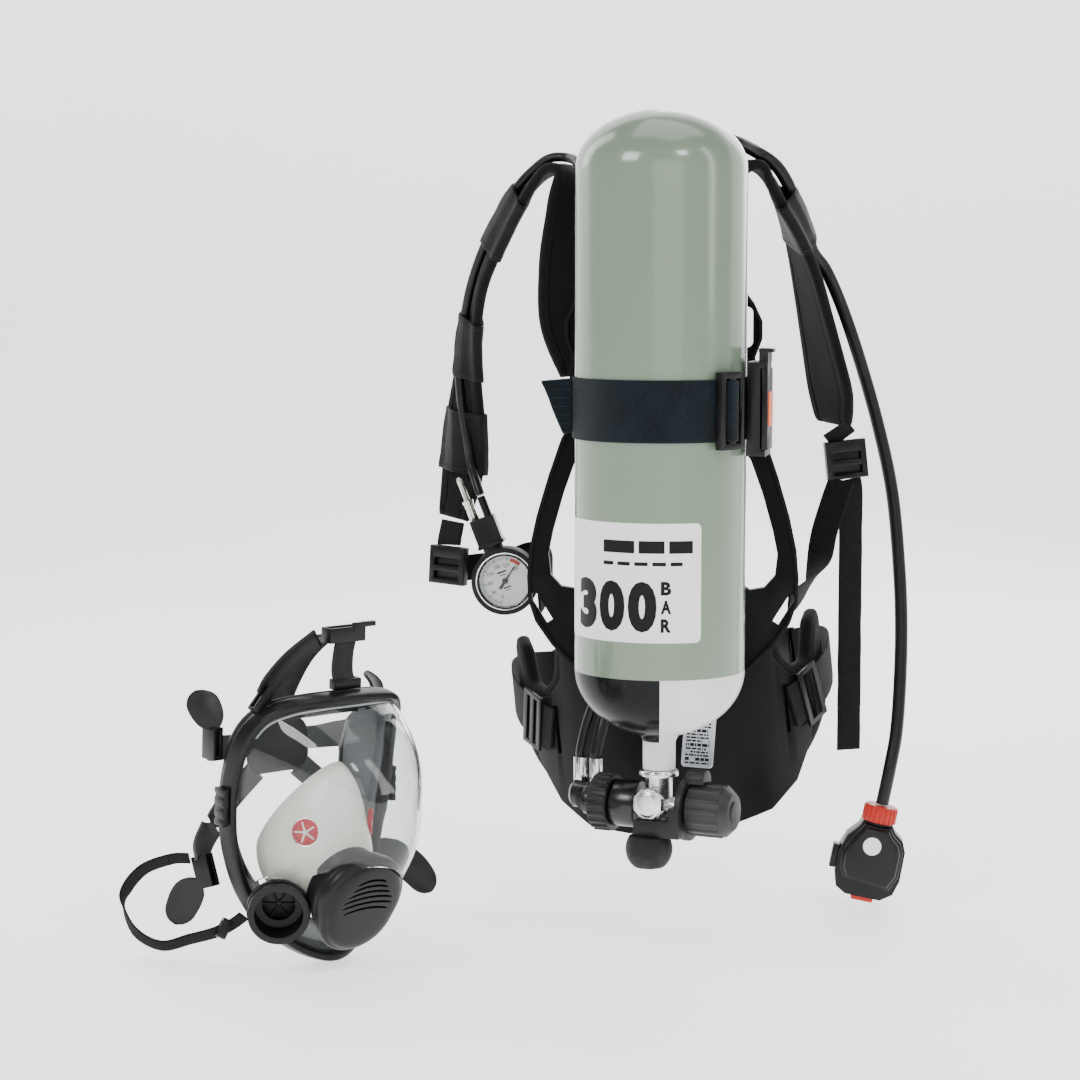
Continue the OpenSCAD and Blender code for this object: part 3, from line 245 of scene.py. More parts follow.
# ---------------------------------------------------------------- materials
class Tree:
    def __init__(self, name):
        self.m = bpy.data.materials.new(name)
        self.m.use_nodes = True
        self.t = self.m.node_tree
        self.b = self.t.nodes["Principled BSDF"]

    def n(self, kind, **kw):
        x = self.t.nodes.new(kind)
        for k, v in kw.items():
            setattr(x, k, v)
        return x

    def link(self, a, b):
        self.t.links.new(a, b)

    def val(self, x, i, v):
        if hasattr(v, "is_output"):
            self.link(v, x.inputs[i])
        else:
            x.inputs[i].default_value = v

    def math(self, op, a, b=None, c=None):
        x = self.n("ShaderNodeMath", operation=op)
        self.val(x, 0, a)
        if b is not None:
            self.val(x, 1, b)
        if c is not None:
            self.val(x, 2, c)
        return x.outputs[0]

    def mix(self, f, a, b, blend="MIX"):
        x = self.n("ShaderNodeMix", data_type="RGBA", blend_type=blend)
        self.val(x, 0, f)
        for i, v in ((6, a), (7, b)):
            self.val(x, i, v if hasattr(v, "is_output") else (*v[:3], 1))
        return x.outputs[2]

    def coord(self, which="Object"):
        return self.n("ShaderNodeTexCoord").outputs[which]

    def noise(self, scale, detail=4, rough=0.55, vec=None, dist=0.0):
        x = self.n("ShaderNodeTexNoise")
        self.link(vec if vec is not None else self.coord(), x.inputs["Vector"])
        x.inputs["Scale"].default_value = scale
        x.inputs["Detail"].default_value = detail
        x.inputs["Roughness"].default_value = rough
        x.inputs["Distortion"].default_value = dist
        return x.outputs[0]

    def ramp(self, f, lo, hi):
        x = self.n("ShaderNodeMapRange")
        self.val(x, 0, f)
        x.inputs[1].default_value, x.inputs[2].default_value = lo, hi
        x.inputs[3].default_value, x.inputs[4].default_value = 0, 1
        return x.outputs[0]

    def scale3(self, vec, s):
        x = self.n("ShaderNodeMapping")
        self.link(vec, x.inputs[0])
        x.inputs["Scale"].default_value = s
        return x.outputs[0]

    def bump(self, h, dist, strength=1.0, normal=None):
        x = self.n("ShaderNodeBump")
        self.val(x, "Height", h)
        x.inputs["Distance"].default_value = dist
        x.inputs["Strength"].default_value = strength
        if normal is not None:
            self.link(normal, x.inputs["Normal"])
        return x.outputs[0]

    def done(self, color, rough, normal=None, metal=0.0, coat=0.0, sheen=0.0, spec=0.5, coat_rough=0.08):
        self.val(self.b, "Base Color", color if hasattr(color, "is_output") else (*color[:3], 1))
        self.val(self.b, "Roughness", rough)
        self.b.inputs["Metallic"].default_value = metal
        self.b.inputs["Coat Weight"].default_value = coat
        self.b.inputs["Coat Roughness"].default_value = coat_rough
        self.b.inputs["Sheen Weight"].default_value = sheen
        self.b.inputs["Sheen Roughness"].default_value = 0.45
        self.b.inputs["Specular IOR Level"].default_value = spec
        if normal is not None:
            self.link(normal, self.b.inputs["Normal"])
        return self.m


def tone(c, k):
    return tuple(min(1.0, max(0.0, v * k)) for v in c[:3])


def plastic(name, c, rough=0.42, grain=1800, depth=0.00005, var=0.25, wear=0.35, edge=0.0006, spec=0.34):
    """moulded plastic: fine spark-eroded grain, handling marks, paler worn edges"""
    t = Tree(name)
    big = t.noise(28, 5)
    col = t.mix(t.ramp(big, 0.3, 0.7), tone(c, 1 - var), tone(c, 1 + var))
    fine = t.noise(grain, 3)
    bev = t.n("ShaderNodeBevel", samples=4)
    bev.inputs[0].default_value = edge
    geo = t.n("ShaderNodeNewGeometry")
    d = t.n("ShaderNodeVectorMath", operation="DOT_PRODUCT")
    t.link(bev.outputs[0], d.inputs[0]); t.link(geo.outputs["Normal"], d.inputs[1])
    e = t.ramp(d.outputs["Value"], 0.985, 0.80)
    e = t.math("MULTIPLY", e, t.ramp(t.noise(160, 6), 0.35, 0.75))
    col = t.mix(t.math("MULTIPLY", e, wear), col, tone(c, 2.6) if max(c) < 0.3 else tone(c, 1.2))
    # faint scratches
    sc = t.noise(90, 8, 0.7, vec=t.scale3(t.coord(), (1, 1, 6)), dist=1.5)
    r = t.math("ADD", t.math("MULTIPLY", t.ramp(sc, 0.55, 0.75), 0.12), t.math("ADD", t.math("MULTIPLY", t.ramp(big, 0.2, 0.8), 0.12), rough - 0.05))
    nrm = t.bump(fine, depth, 0.6, normal=bev.outputs[0])
    nrm = t.bump(t.ramp(sc, 0.6, 0.8), 0.00003, 0.4, normal=nrm)
    return t.done(col, r, nrm, spec=spec)


def rubber(name, c, rough=0.62, dust=0.25, grain=900):
    t = Tree(name)
    big = t.noise(22, 6)
    col = t.mix(t.ramp(big, 0.3, 0.72), tone(c, 0.75), tone(c, 1.3))
    dus = t.math("MULTIPLY", t.ramp(t.noise(60, 9, 0.7), 0.52, 0.8), dust)
    col = t.mix(dus, col, tone((0.3, 0.29, 0.27), 1))
    r = t.math("ADD", rough - 0.06, t.math("MULTIPLY", big, 0.16))
    nrm = t.bump(t.noise(grain, 4), 0.00008, 0.5)
    return t.done(col, r, nrm, spec=0.3)


def metal(name, c, rough=0.14, brushed=(1, 1, 1), scratch=0.15):
    t = Tree(name)
    br = t.noise(400, 6, 0.6, vec=t.scale3(t.coord(), brushed))
    big = t.noise(45, 5)
    col = t.mix(t.ramp(big, 0.25, 0.75), tone(c, 0.86), tone(c, 1.06))
    r = t.math("ADD", rough, t.math("MULTIPLY", t.ramp(br, 0.3, 0.8), scratch))
    nrm = t.bump(br, 0.000006, 0.3)
    return t.done(col, r, nrm, metal=1.0)


def webbing(name, c, pu=1.7, pv=1.9, depth=0.00045, contrast=0.55, tint=None, sheen=0.06):
    """flat woven tape: picks across, warp cords along, a firmer selvedge"""
    t = Tree(name)
    s = t.n("ShaderNodeSeparateXYZ")
    t.link(t.coord("UV"), s.inputs[0])
    jit = t.math("MULTIPLY", t.noise(300, 3), 0.5)
    u, v = t.math("ADD", s.outputs[0], jit), t.math("ADD", s.outputs[1], jit)
    su = t.math("SINE", t.math("MULTIPLY", u, 2 * math.pi / pu))
    sv = t.math("SINE", t.math("MULTIPLY", v, 2 * math.pi / pv))
    half = t.math("SINE", t.math("MULTIPLY", v, math.pi / pv))
    alt = t.math("SINE", t.math("ADD", t.math("MULTIPLY", u, 2 * math.pi / pu), t.math("MULTIPLY", t.math("SIGN", half), math.pi / 2)))
    h = t.math("ADD", t.math("MULTIPLY", alt, 0.6), t.math("MULTIPLY", t.math("ABSOLUTE", sv), 0.7))
    f = t.ramp(h, -0.5, 1.2)
    warm = t.mix(t.ramp(t.noise(35, 5), 0.35, 0.7), tone(c, 0.8), tint or tone(c, 1.35))
    col = t.mix(f, tone(c, 1 - contrast), warm)
    fuzz = t.noise(2600, 3)
    col = t.mix(t.math("MULTIPLY", t.ramp(fuzz, 0.55, 0.8), 0.25), col, tone(c, 2.2))
    nrm = t.bump(h, depth, 0.8)
    nrm = t.bump(fuzz, 0.0001, 0.4, normal=nrm)
    return t.done(col, t.math("ADD", 0.72, t.math("MULTIPLY", fuzz, 0.15)), nrm, sheen=sheen, spec=0.16)


def cloth(name, c, p=1.15, depth=0.00035, sheen=0.07, rough=0.8):
    """pack cloth: a coarse plain weave with slubs"""
    t = Tree(name)
    s = t.n("ShaderNodeSeparateXYZ")
    t.link(t.coord("UV"), s.inputs[0])
    w = t.math("MULTIPLY", t.noise(140, 3), 1.2)
    u, v = t.math("ADD", s.outputs[0], w), t.math("ADD", s.outputs[1], w)
    su = t.math("SINE", t.math("MULTIPLY", u, 2 * math.pi / p))
    sv = t.math("SINE", t.math("MULTIPLY", v, 2 * math.pi / p))
    h = t.math("MULTIPLY", su, sv)
    slub = t.noise(420, 5)
    big = t.noise(20, 6)
    col = t.mix(t.ramp(h, -0.8, 0.9), tone(c, 0.55), t.mix(t.ramp(big, 0.3, 0.7), tone(c, 0.9), tone(c, 1.5)))
    col = t.mix(t.math("MULTIPLY", t.ramp(slub, 0.55, 0.8), 0.3), col, tone(c, 2.3))
    nrm = t.bump(h, depth, 0.7)
    nrm = t.bump(slub, 0.0003, 0.35, normal=nrm)
    return t.done(col, rough, nrm, sheen=sheen, spec=0.14)


BLK = (0.0135, 0.0135, 0.0145)
m_frame = plastic("frame_plastic", (0.0032, 0.0032, 0.0036), 0.48, spec=0.13)
m_plastic = plastic("black_plastic", (0.0038, 0.0038, 0.0042), 0.34, spec=0.26)
m_valve = plastic("valve_plastic", (0.0062, 0.0066, 0.007), 0.36, spec=0.24)
m_wheel = plastic("wheel_plastic", (0.025, 0.0248, 0.024), 0.45, wear=0.45)
m_guard = plastic("guard_plastic", (0.011, 0.011, 0.0115), 0.42, spec=0.3)
m_reducer = plastic("reducer_paint", (0.006, 0.006, 0.0064), 0.26, wear=0.6, spec=0.5)
m_red = plastic("red_plastic", (0.46, 0.018, 0.008), 0.38, var=0.1)
m_orange = plastic("orange_plastic", (0.78, 0.11, 0.015), 0.33, var=0.1)
m_rubber = rubber("black_rubber", (0.0048, 0.0048, 0.0052), dust=0.08)
m_hose = rubber("hose_rubber", (0.004, 0.004, 0.0044), 0.33, dust=0.03)
m_mask = rubber("mask_rubber", (0.0085, 0.009, 0.0102), 0.45, dust=0.05)
m_redrub = rubber("red_rubber", (0.42, 0.002, 0.008), 0.42, dust=0.0)
m_steel = metal("steel", (0.5, 0.5, 0.52), 0.25, (1, 1, 8))
m_chrome = metal("chrome", (0.88, 0.88, 0.89), 0.12, scratch=0.14)
m_satin = metal("satin_chrome", (0.80, 0.80, 0.80), 0.24, scratch=0.1)
m_nickel = metal("nickel", (0.72, 0.69, 0.62), 0.16)
m_alu = metal("plate_metal", (0.6, 0.62, 0.66), 0.32, (14, 1, 1))
m_navy = webbing("navy_webbing", (0.004, 0.0085, 0.0135), 1.9, 2.2, tint=(0.007, 0.0165, 0.024), contrast=0.7)
m_web = webbing("black_webbing", (0.0048, 0.0048, 0.0056))
m_pad = cloth("pad_cloth", (0.0042, 0.0042, 0.0048), sheen=0.03)
m_bind = webbing("binding_tape", (0.0038, 0.0038, 0.0043), 1.2, 1.4, depth=0.0002, sheen=0.03)
m_sleeve = cloth("sleeve_cloth", (0.0062, 0.0062, 0.007), p=0.9, depth=0.0002, rough=0.55, sheen=0.04)
m_thread = rubber("thread", (0.02, 0.02, 0.0225), 0.7, dust=0.0)
m_needle = plastic("needle_black", (0.008, 0.008, 0.008), 0.4, wear=0.0)


def cylinder_paint():
    t = Tree("cylinder_paint")
    co = t.coord()
    s = t.n("ShaderNodeSeparateXYZ")
    t.link(co, s.inputs[0])
    x, y, z = s.outputs
    yy = t.math("ADD", y, 0.080)
    ca, sa = math.cos(math.radians(1.8)), math.sin(math.radians(1.8))
    xr = t.math("SUBTRACT", t.math("MULTIPLY", x, ca), t.math("MULTIPLY", yy, -sa))
    yr = t.math("ADD", t.math("MULTIPLY", x, -sa), t.math("MULTIPLY", yy, ca))
    edge = t.math("MULTIPLY", t.math("SUBTRACT", t.noise(260, 4), 0.5), 0.0004)
    q = t.math("MULTIPLY", t.math("ADD", xr, edge), yr)
    quad = t.ramp(q, -0.0000002, 0.0000002)
    green = t.mix(t.ramp(t.noise(7, 4), 0.3, 0.7), (0.158, 0.214, 0.150), (0.170, 0.229, 0.162))
    white = t.mix(t.ramp(t.noise(30, 5), 0.3, 0.7), (0.70, 0.70, 0.67), (0.78, 0.78, 0.75))
    black = t.mix(t.ramp(t.noise(26, 6), 0.35, 0.7), (0.003, 0.0032, 0.0038), (0.008, 0.0083, 0.0095))
    low = t.mix(quad, white, black)
    zr = t.math("ADD", z, edge)
    side = t.ramp(zr, -0.40630, -0.40610)
    col = t.mix(side, low, green)
    col = t.mix(t.ramp(z, -0.4655, -0.4665), col, white)
    # handling marks: darker rub rings under the strap and specks of bare metal low down
    rub = t.noise(30, 4, 0.55)
    col = t.mix(t.math("MULTIPLY", t.ramp(rub, 0.5, 0.8), 0.02), col, (0.08, 0.085, 0.08))
    chip = t.math("MULTIPLY", t.ramp(t.noise(240, 8, 0.65), 0.68, 0.71), t.ramp(z, -0.36, -0.46))
    col = t.mix(chip, col, (0.22, 0.21, 0.2))
    peel = t.noise(330, 2)
    r = t.math("ADD", 0.20, t.math("MULTIPLY", t.ramp(rub, 0.4, 0.75), 0.05))
    nrm = t.bump(peel, 0.00012, 0.22)
    nrm = t.bump(chip, 0.0001, -0.5, normal=nrm)
    m = t.done(col, r, nrm, coat=0.4, coat_rough=0.08)
    t.link(t.math("MULTIPLY", side, 0.4), t.b.inputs["Coat Weight"])
    t.link(t.math("ADD", t.math("MULTIPLY", side, 0.36), 0.14), t.b.inputs["Specular IOR Level"])
    return m


m_cyl = cylinder_paint()


def glass(name, tint, rough=0.02, ior=1.5, edge=None):
    """clear sheet; edge is a painted grey shade where it is seen along its surface, standing in for the shading and
    reflections at its rim and in part for absorption through more of it
    """
    t = Tree(name)
    haze = t.noise(55, 7, 0.6)
    b = t.b
    if edge:
        # painted shade: the tint darkens towards edge where the sheet is seen edge-on
        lw = t.n("ShaderNodeLayerWeight")
        lw.inputs[0].default_value = 0.5
        f = t.math("POWER", lw.outputs["Facing"], 1.7)
        t.link(t.mix(f, tint, edge), b.inputs["Base Color"])
    else:
        b.inputs["Base Color"].default_value = (*tint, 1)
    t.link(t.math("ADD", rough, t.math("MULTIPLY", t.ramp(haze, 0.5, 0.9), 0.03)), b.inputs["Roughness"])
    b.inputs["Transmission Weight"].default_value = 1.0
    b.inputs["IOR"].default_value = ior
    b.inputs["Specular IOR Level"].default_value = 0.5
    # light passes it without a dark refracted shadow
    mixs = t.n("ShaderNodeMixShader")
    tr = t.n("ShaderNodeBsdfTransparent")
    tr.inputs[0].default_value = (*tint, 1)
    lp = t.n("ShaderNodeLightPath")
    k = t.math("MAXIMUM", lp.outputs["Is Shadow Ray"], lp.outputs["Is Diffuse Ray"])
    t.link(k, mixs.inputs[0])
    t.link(b.outputs[0], mixs.inputs[1])
    t.link(tr.outputs[0], mixs.inputs[2])
    t.link(mixs.outputs[0], t.t.nodes["Material Output"].inputs[0])
    return t.m


m_lens = glass("clear_lens", (0.97, 0.98, 0.98), ior=1.25)
# edge here is the painted grey shade on the visor at grazing angles
m_visor = glass("clear_visor", (0.955, 0.968, 0.972), ior=1.34, edge=(0.42, 0.45, 0.47))

PAINT = {
    "backplate": m_frame, "cradle_pads": m_rubber, "plate_screws": m_steel, "cylinder_shell": m_cyl, "valve_body": m_satin,
    "valve_plug": m_satin, "valve_guard": m_guard, "bumper_foot": m_rubber, "outlet_collar": m_reducer, "reducer_body": m_reducer,
    "hose_ferrules": m_chrome, "data_plate": m_alu, "cylinder_strap": m_navy, "buckle_base": m_plastic, "buckle_pin": m_steel,
    "gauge_hose": m_hose, "supply_hose_upper": m_hose, "supply_hose": m_hose, "shoulder_pad_left": m_pad, "shoulder_pad_right": m_pad,
    "hose_sleeves": m_sleeve, "shoulder_buckles": m_plastic, "shoulder_webbing": m_web, "lower_webbing": m_web, "swivel_pin": m_steel,
    "whistle_block": m_plastic, "whistle": m_nickel, "lumbar_shell": m_frame, "hip_pad": m_pad, "belt_webbing": m_web,
    "belt_sliders": m_plastic, "belt_buckle": m_plastic, "handwheel": m_wheel, "valve_spindle": m_steel, "coupling_wheel": m_guard,
    "buckle_lever": m_plastic, "buckle_mark": m_orange, "gauge_boot": m_rubber, "gauge_lens": m_lens, "gauge_stem": m_nickel,
    "gauge_needle": m_needle, "demand_body": m_valve, "demand_cover": m_valve, "demand_spigot": m_plastic, "bypass_ring": m_red,
    "standby_button": m_red, "release_latch": m_plastic, "mask_bezel": m_plastic, "bezel_clamps": m_plastic, "mask_visor": m_visor,
    "face_seal": m_mask, "inhale_valves": m_redrub, "speech_housing": m_valve, "speech_cover": m_valve, "mask_port": m_valve,
    "head_harness": m_mask, "harness_buckles": m_plastic, "neck_strap": m_web,
}


def dial_face():
    t = Tree("dial_face")
    col = t.mix(t.ramp(t.noise(60, 5), 0.3, 0.7), (0.60, 0.63, 0.58), (0.66, 0.69, 0.63))
    return t.done(col, 0.45, t.bump(t.noise(1500, 2), 0.00002, 0.3))


def silicone():
    t = Tree("cup_silicone")
    col = t.mix(t.ramp(t.noise(18, 5), 0.3, 0.7), (0.66, 0.67, 0.58), (0.76, 0.77, 0.69))
    t.b.inputs["Subsurface Weight"].default_value = 0.35
    t.b.inputs["Subsurface Radius"].default_value = (0.006, 0.005, 0.004)
    t.b.inputs["Subsurface Scale"].default_value = 0.6
    return t.done(col, 0.38, t.bump(t.noise(700, 3), 0.00004, 0.3))


m_dial = dial_face()
m_cup = silicone()
PAINT["gauge_dial"] = m_dial
PAINT["inner_mask"] = m_cup
for n, o in NODE.items():
    o.data.materials.clear()
    o.data.materials.append(PAINT[n])


# ---------------------------------------------------------------- copies of the rigid solids with real edges
def solid(name, *nodes, mat=None, bev=0.7, seg=2, angle=32, smooth_angle=38, body=None, keep=True):
    """a copy of CAD solids with rounded edges, standing for them"""
    bm = bmesh.new()
    for n in nodes:
        bm.from_mesh(NODE[n].data)
    bmesh.ops.remove_doubles(bm, verts=bm.verts, dist=2e-6)
    bmesh.ops.dissolve_limit(bm, angle_limit=math.radians(1.2), verts=bm.verts, edges=bm.edges)
    me = bpy.data.meshes.new(name)
    bm.to_mesh(me); bm.free()
    o = bpy.data.objects.new(name, me)
    COL.objects.link(o)
    if bev > 0:
        md = o.modifiers.new("edge", "BEVEL")
        md.width = bev / 1000
        md.segments = seg
        md.limit_method = "ANGLE"
        md.angle_limit = math.radians(angle)
        md.use_clamp_overlap = True
        md.miter_outer = "MITER_ARC"
        dg = bpy.context.evaluated_depsgraph_get()
        new = bpy.data.meshes.new_from_object(o.evaluated_get(dg))
        a = np.array([v.co for v in me.vertices]); b = np.array([v.co for v in new.vertices])
        if np.all(b.min(0) > a.min(0) - 4e-4) and np.all(b.max(0) < a.max(0) + 4e-4):
            o.modifiers.clear()
            o.data = new
            me = new
        else:
            o.modifiers.clear()
            print("bevel left out on", name)
    bm = bmesh.new(); bm.from_mesh(me)
    bmesh.ops.triangulate(bm, faces=[f for f in bm.faces if len(f.verts) > 4])
    bmesh.ops.dissolve_degenerate(bm, dist=1e-6, edges=bm.edges)
    bm.to_mesh(me); bm.free()
    me.polygons.foreach_set("use_smooth", [True] * len(me.polygons))
    me.set_sharp_from_angle(angle=math.radians(smooth_angle))
    me.materials.clear()
    me.materials.append(mat or PAINT[nodes[0]])
    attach(o, body or BODY[nodes[0]])
    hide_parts(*nodes)
    return o


def baked(o, build):
    """applies modifiers that build(o) adds"""
    build(o)
    dg = bpy.context.evaluated_depsgraph_get()
    new = bpy.data.meshes.new_from_object(o.evaluated_get(dg))
    mats = [m for m in o.data.materials]
    o.modifiers.clear()
    o.data = new
    if not new.materials:
        for m in mats:
            new.materials.append(m)
    return new


def cut(o, cutters):
    """takes closed cutter meshes, given as (vertices in mm, faces), out of o"""
    obs = []
    for i, (V, F) in enumerate(cutters):
        me = bpy.data.meshes.new("cutter")
        me.from_pydata([tuple(v) for v in R(V)], [], [list(map(int, f)) for f in F])
        bm = bmesh.new(); bm.from_mesh(me)
        bmesh.ops.recalc_face_normals(bm, faces=bm.faces)
        bm.to_mesh(me); bm.free()
        c = bpy.data.objects.new("cutter", me)
        COL.objects.link(c)
        obs.append(c)

    def build(x):
        for c in obs:
            md = x.modifiers.new("cut", "BOOLEAN")
            md.operation = "DIFFERENCE"
            md.solver = "EXACT"
            md.object = c
    baked(o, build)
    for c in obs:
        bpy.data.objects.remove(c)


# ---------------------------------------------------------------- matrices in working millimetres
def mat4(*steps):
    M = np.eye(4)
    for k, v in steps:
        A = np.eye(4)
        if k == "T":
            A[:3, 3] = v
        else:
            a = math.radians(v)
            c, s = math.cos(a), math.sin(a)
            if k == "X":
                A[1:3, 1:3] = [[c, -s], [s, c]]
            elif k == "Y":
                A[0, 0], A[0, 2], A[2, 0], A[2, 2] = c, s, -s, c
            else:
                A[:2, :2] = [[c, -s], [s, c]]
        M = M @ A
    return M


def at(M, P):
    P = np.asarray(P, float)
    sh = P.shape
    Q = P.reshape(-1, 3) @ M[:3, :3].T + M[:3, 3]
    return Q.reshape(sh)


M_VALVE = mat4(("T", (0, 0, -55)), ("Z", -22))
M_HIP = mat4(("T", (0, 0, 60)), ("Y", -6), ("T", (0, 244, -60)))
M_GAUGE = mat4(("T", (-141, 172, 112)), ("Y", -21))
M_DV = mat4(("T", (187, 78, -67)), ("Y", 11.5))
M_MASK = mat4(("T", (-237, -150, -39)), ("Z", 44), ("X", 3))


def lathe(profile, M, m=64, name=None, mat=None, body=None, closed_profile=False, **kw):
    """turns (radius, height) pairs about the local Z of M"""
    prof = np.asarray(profile, float)
    rings = []
    for a in np.linspace(0, 2 * math.pi, m, endpoint=False):
        rings.append([(r * math.cos(a), r * math.sin(a), z) for r, z in prof])
    rings = at(M, rings)
    n, q = rings.shape[:2]
    V = rings.reshape(-1, 3)
    F, UV = [], []
    L = np.concatenate([[0], np.cumsum(np.linalg.norm(np.diff(prof, axis=0), axis=1))])
    for i in range(n):
        e = (i + 1) % n
        for j in range(q if closed_profile else q - 1):
            k = (j + 1) % q
            F.append([i * q + j, e * q + j, e * q + k, i * q + k])
            rr = prof[j][0]
            UV.append([(i * 2 * math.pi * rr / n, L[j]), ((i + 1) * 2 * math.pi * rr / n, L[j]), ((i + 1) * 2 * math.pi * rr / n, L[k]), (i * 2 * math.pi * rr / n, L[k])])
    me = bpy.data.meshes.new(name)
    me.from_pydata([tuple(v) for v in R(V)], [], F)
    lay = me.uv_layers.new(name="UVMap")
    for i, c in enumerate([c for f in UV for c in f]):
        lay.data[i].uv = c
    bm = bmesh.new(); bm.from_mesh(me)
    bmesh.ops.remove_doubles(bm, verts=bm.verts, dist=1e-6)
    bmesh.ops.dissolve_degenerate(bm, dist=1e-7, edges=bm.edges)
    bmesh.ops.recalc_face_normals(bm, faces=bm.faces)
    bm.to_mesh(me); bm.free()
    me.polygons.foreach_set("use_smooth", [True] * len(me.polygons))
    me.set_sharp_from_angle(angle=math.radians(kw.get("sharp", 40)))
    o = bpy.data.objects.new(name, me)
    COL.objects.link(o)
    me.materials.append(mat)
    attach(o, body)
    if kw.get("replaces"):
        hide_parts(*kw["replaces"])
    return o


def text_flat(s, w, h, bold=0.0, step=0.0):
    """flat figures that fill w by h millimetres, as (vertices, faces)"""
    cu = bpy.data.curves.new("figures", "FONT")
    cu.body = s
    cu.size = 10
    cu.offset = bold
    cu.resolution_u = 4
    cu.space_character = 1.06
    o = bpy.data.objects.new("figures", cu)
    COL.objects.link(o)
    dg = bpy.context.evaluated_depsgraph_get()
    me = bpy.data.meshes.new_from_object(o.evaluated_get(dg))
    bpy.data.objects.remove(o)
    co = np.array([v.co for v in me.vertices])
    lo, hi = co.min(0), co.max(0)
    for v in me.vertices:
        v.co = ((v.co[0] - lo[0]) / (hi[0] - lo[0]) * w, (v.co[1] - lo[1]) / (hi[1] - lo[1]) * h, 0)
    bm = bmesh.new(); bm.from_mesh(me)
    bmesh.ops.remove_doubles(bm, verts=bm.verts, dist=1e-4)
    if step:
        for x in np.arange(step, w, step):
            bmesh.ops.bisect_plane(bm, geom=bm.verts[:] + bm.edges[:] + bm.faces[:], plane_co=(x, 0, 0), plane_no=(1, 0, 0))
    bmesh.ops.triangulate(bm, faces=bm.faces)
    bm.to_mesh(me); bm.free()
    V = np.array([v.co for v in me.vertices])
    F = [list(p.vertices) for p in me.polygons]
    bpy.data.meshes.remove(me)
    return V, F


def decal(name, parts, place, mat, body, thick=0.12, uvscale=1.0):
    """thin printed shapes: each part is (vertices, faces) in the plane, place() maps (x, y, lift) to the surface"""
    V, F, off = [], [], 0
    for v, f in parts:
        V += [place(p[0], p[1], thick) for p in v]
        F += [[i + off for i in q] for q in f]
        off += len(v)
    return make(name, np.array(V), F, mat, body, smooth=True, recalc=False)


def quad_strip(x0, x1, y0, y1, n=1, r=0.0):
    """a flat bar, with rounded corners of radius r, in n columns"""
    xs = sorted(set([round(x, 4) for x in np.linspace(x0, x1, n + 1)] + ([round(x0 + r * (1 - math.cos(a)), 4) for a in np.linspace(0, math.pi / 2, 6)] + [round(x1 - r * (1 - math.cos(a)), 4) for a in np.linspace(0, math.pi / 2, 6)] if r else [])))
    V, F = [], []
    for x in xs:
        e = min(x - x0, x1 - x)
        d = r - math.sqrt(max(0, r * r - (r - e) ** 2)) if r and e < r else 0
        V += [(x, y0 + d, 0), (x, y1 - d, 0)]
    for i in range(len(xs) - 1):
        F.append([2 * i, 2 * i + 2, 2 * i + 3, 2 * i + 1])
    return np.array(V), F


def stitches(name, lines, body, mat=None, pitch=3.6, length=2.6, r=0.34, lift=0.25):
    """short raised stitches along lines given as (points, outward normals)"""
    parts = []
    for P, N in lines:
        P, N = np.asarray(P, float), np.asarray(N, float)
        s = arc(P)
        k = 0.8
        while k + length < s[-1]:
            pts = []
            for q in (k, k + length / 2, k + length):
                p = np.array([np.interp(q, s, P[:, c]) for c in range(3)])
                n = unit([np.interp(q, s, N[:, c]) for c in range(3)])
                pts.append((p, n))
            t = unit(pts[2][0] - pts[0][0])
            rings = []
            for (p, n), rr, up in zip((pts[0], pts[0], pts[1], pts[2], pts[2]), (0.25, 0.8, 1, 0.8, 0.25), (-0.3, 0.1, 0.35, 0.1, -0.3)):
                b = np.cross(t, n)
                q = p + n * (lift + up * r) + t * (0 if rr != 0.25 else 0)
                rings.append([q + r * rr * (math.cos(a) * n + math.sin(a) * b) for a in np.linspace(0, 2 * math.pi, 6, endpoint=False)])
            rings[0] = [x - t * 0.3 for x in rings[0]]
            rings[-1] = [x + t * 0.3 for x in rings[-1]]
            parts.append(loft_data(rings))
            k += pitch
    V, F, UV = join_data(parts)
    return make(name, V, F, mat or m_thread, body, uv=UV)


# ---------------------------------------------------------------- harness routes, working millimetres
LP = [[-72, 98.5, 296], [-76, 98.5, 340], [-77, 98.5, 388], [-73, 102, 434], [-77, 112, 464], [-96, 121, 470], [-120, 133, 450], [-143, 150, 414], [-160, 168, 376], [-170, 184, 334], [-176, 195, 292], [-179, 200, 250], [-182, 204, 206], [-190, 204, 164]]
LD = [[1, 0, 0], [1, 0, 0], [1, .05, 0], [.93, .35, 0], [.5, .85, 0], [.15, 1, 0], [-.03, .95, .2], [-.07, .92, .35], [-.07, .93, .33], [-.2, .93, .3], [-.45, .86, .2], [-.7, .7, .1], [-.83, .55, 0], [-.85, .5, 0]]
LW = [34, 60, 60, 58, 54, 50, 48, 48, 48, 48, 50, 50, 46, 34]
RP = [[38, 98.5, 296], [38, 98.5, 340], [37, 98.5, 388], [40, 102, 430], [52, 110, 462], [74, 118, 473], [92, 128, 454], [107, 140, 424], [119, 153, 388], [128, 167, 350], [136, 180, 314], [143, 190, 280], [147, 197, 250]]
RD = [[-1, 0, 0], [-1, 0, 0], [-1, .05, 0], [-.93, .35, 0], [-.5, .85, 0], [-.15, 1, 0], [-.06, .95, .2], [-.24, .93, .33], [-.38, .9, .28], [-.44, .86, .22], [-.52, .82, .18], [-.6, .78, .15], [-.65, .75, .1]]
RW = [30, 56, 58, 56, 54, 54, 56, 58, 60, 62, 62, 60, 44]
LPs, LDs, RPs, RDs = spline(LP, 4), spline(LD, 4), spline(RP, 4), spline(RD, 4)
LH, RH = 8.9, 10.4


def on_pad(P, D, i, L, S=0.0):
    t = unit(P[min(i + 1, len(P) - 1)] - P[max(i - 1, 0)])
    d = unit(D[i] - np.dot(D[i], t) * t)
    return P[i] + np.cross(t, d) * L + d * S


def vw(u, v, z):
    c, s = math.cos(math.radians(22)), math.sin(math.radians(22))
    return [u * c + v * s, v * c - u * s, -55 + z]


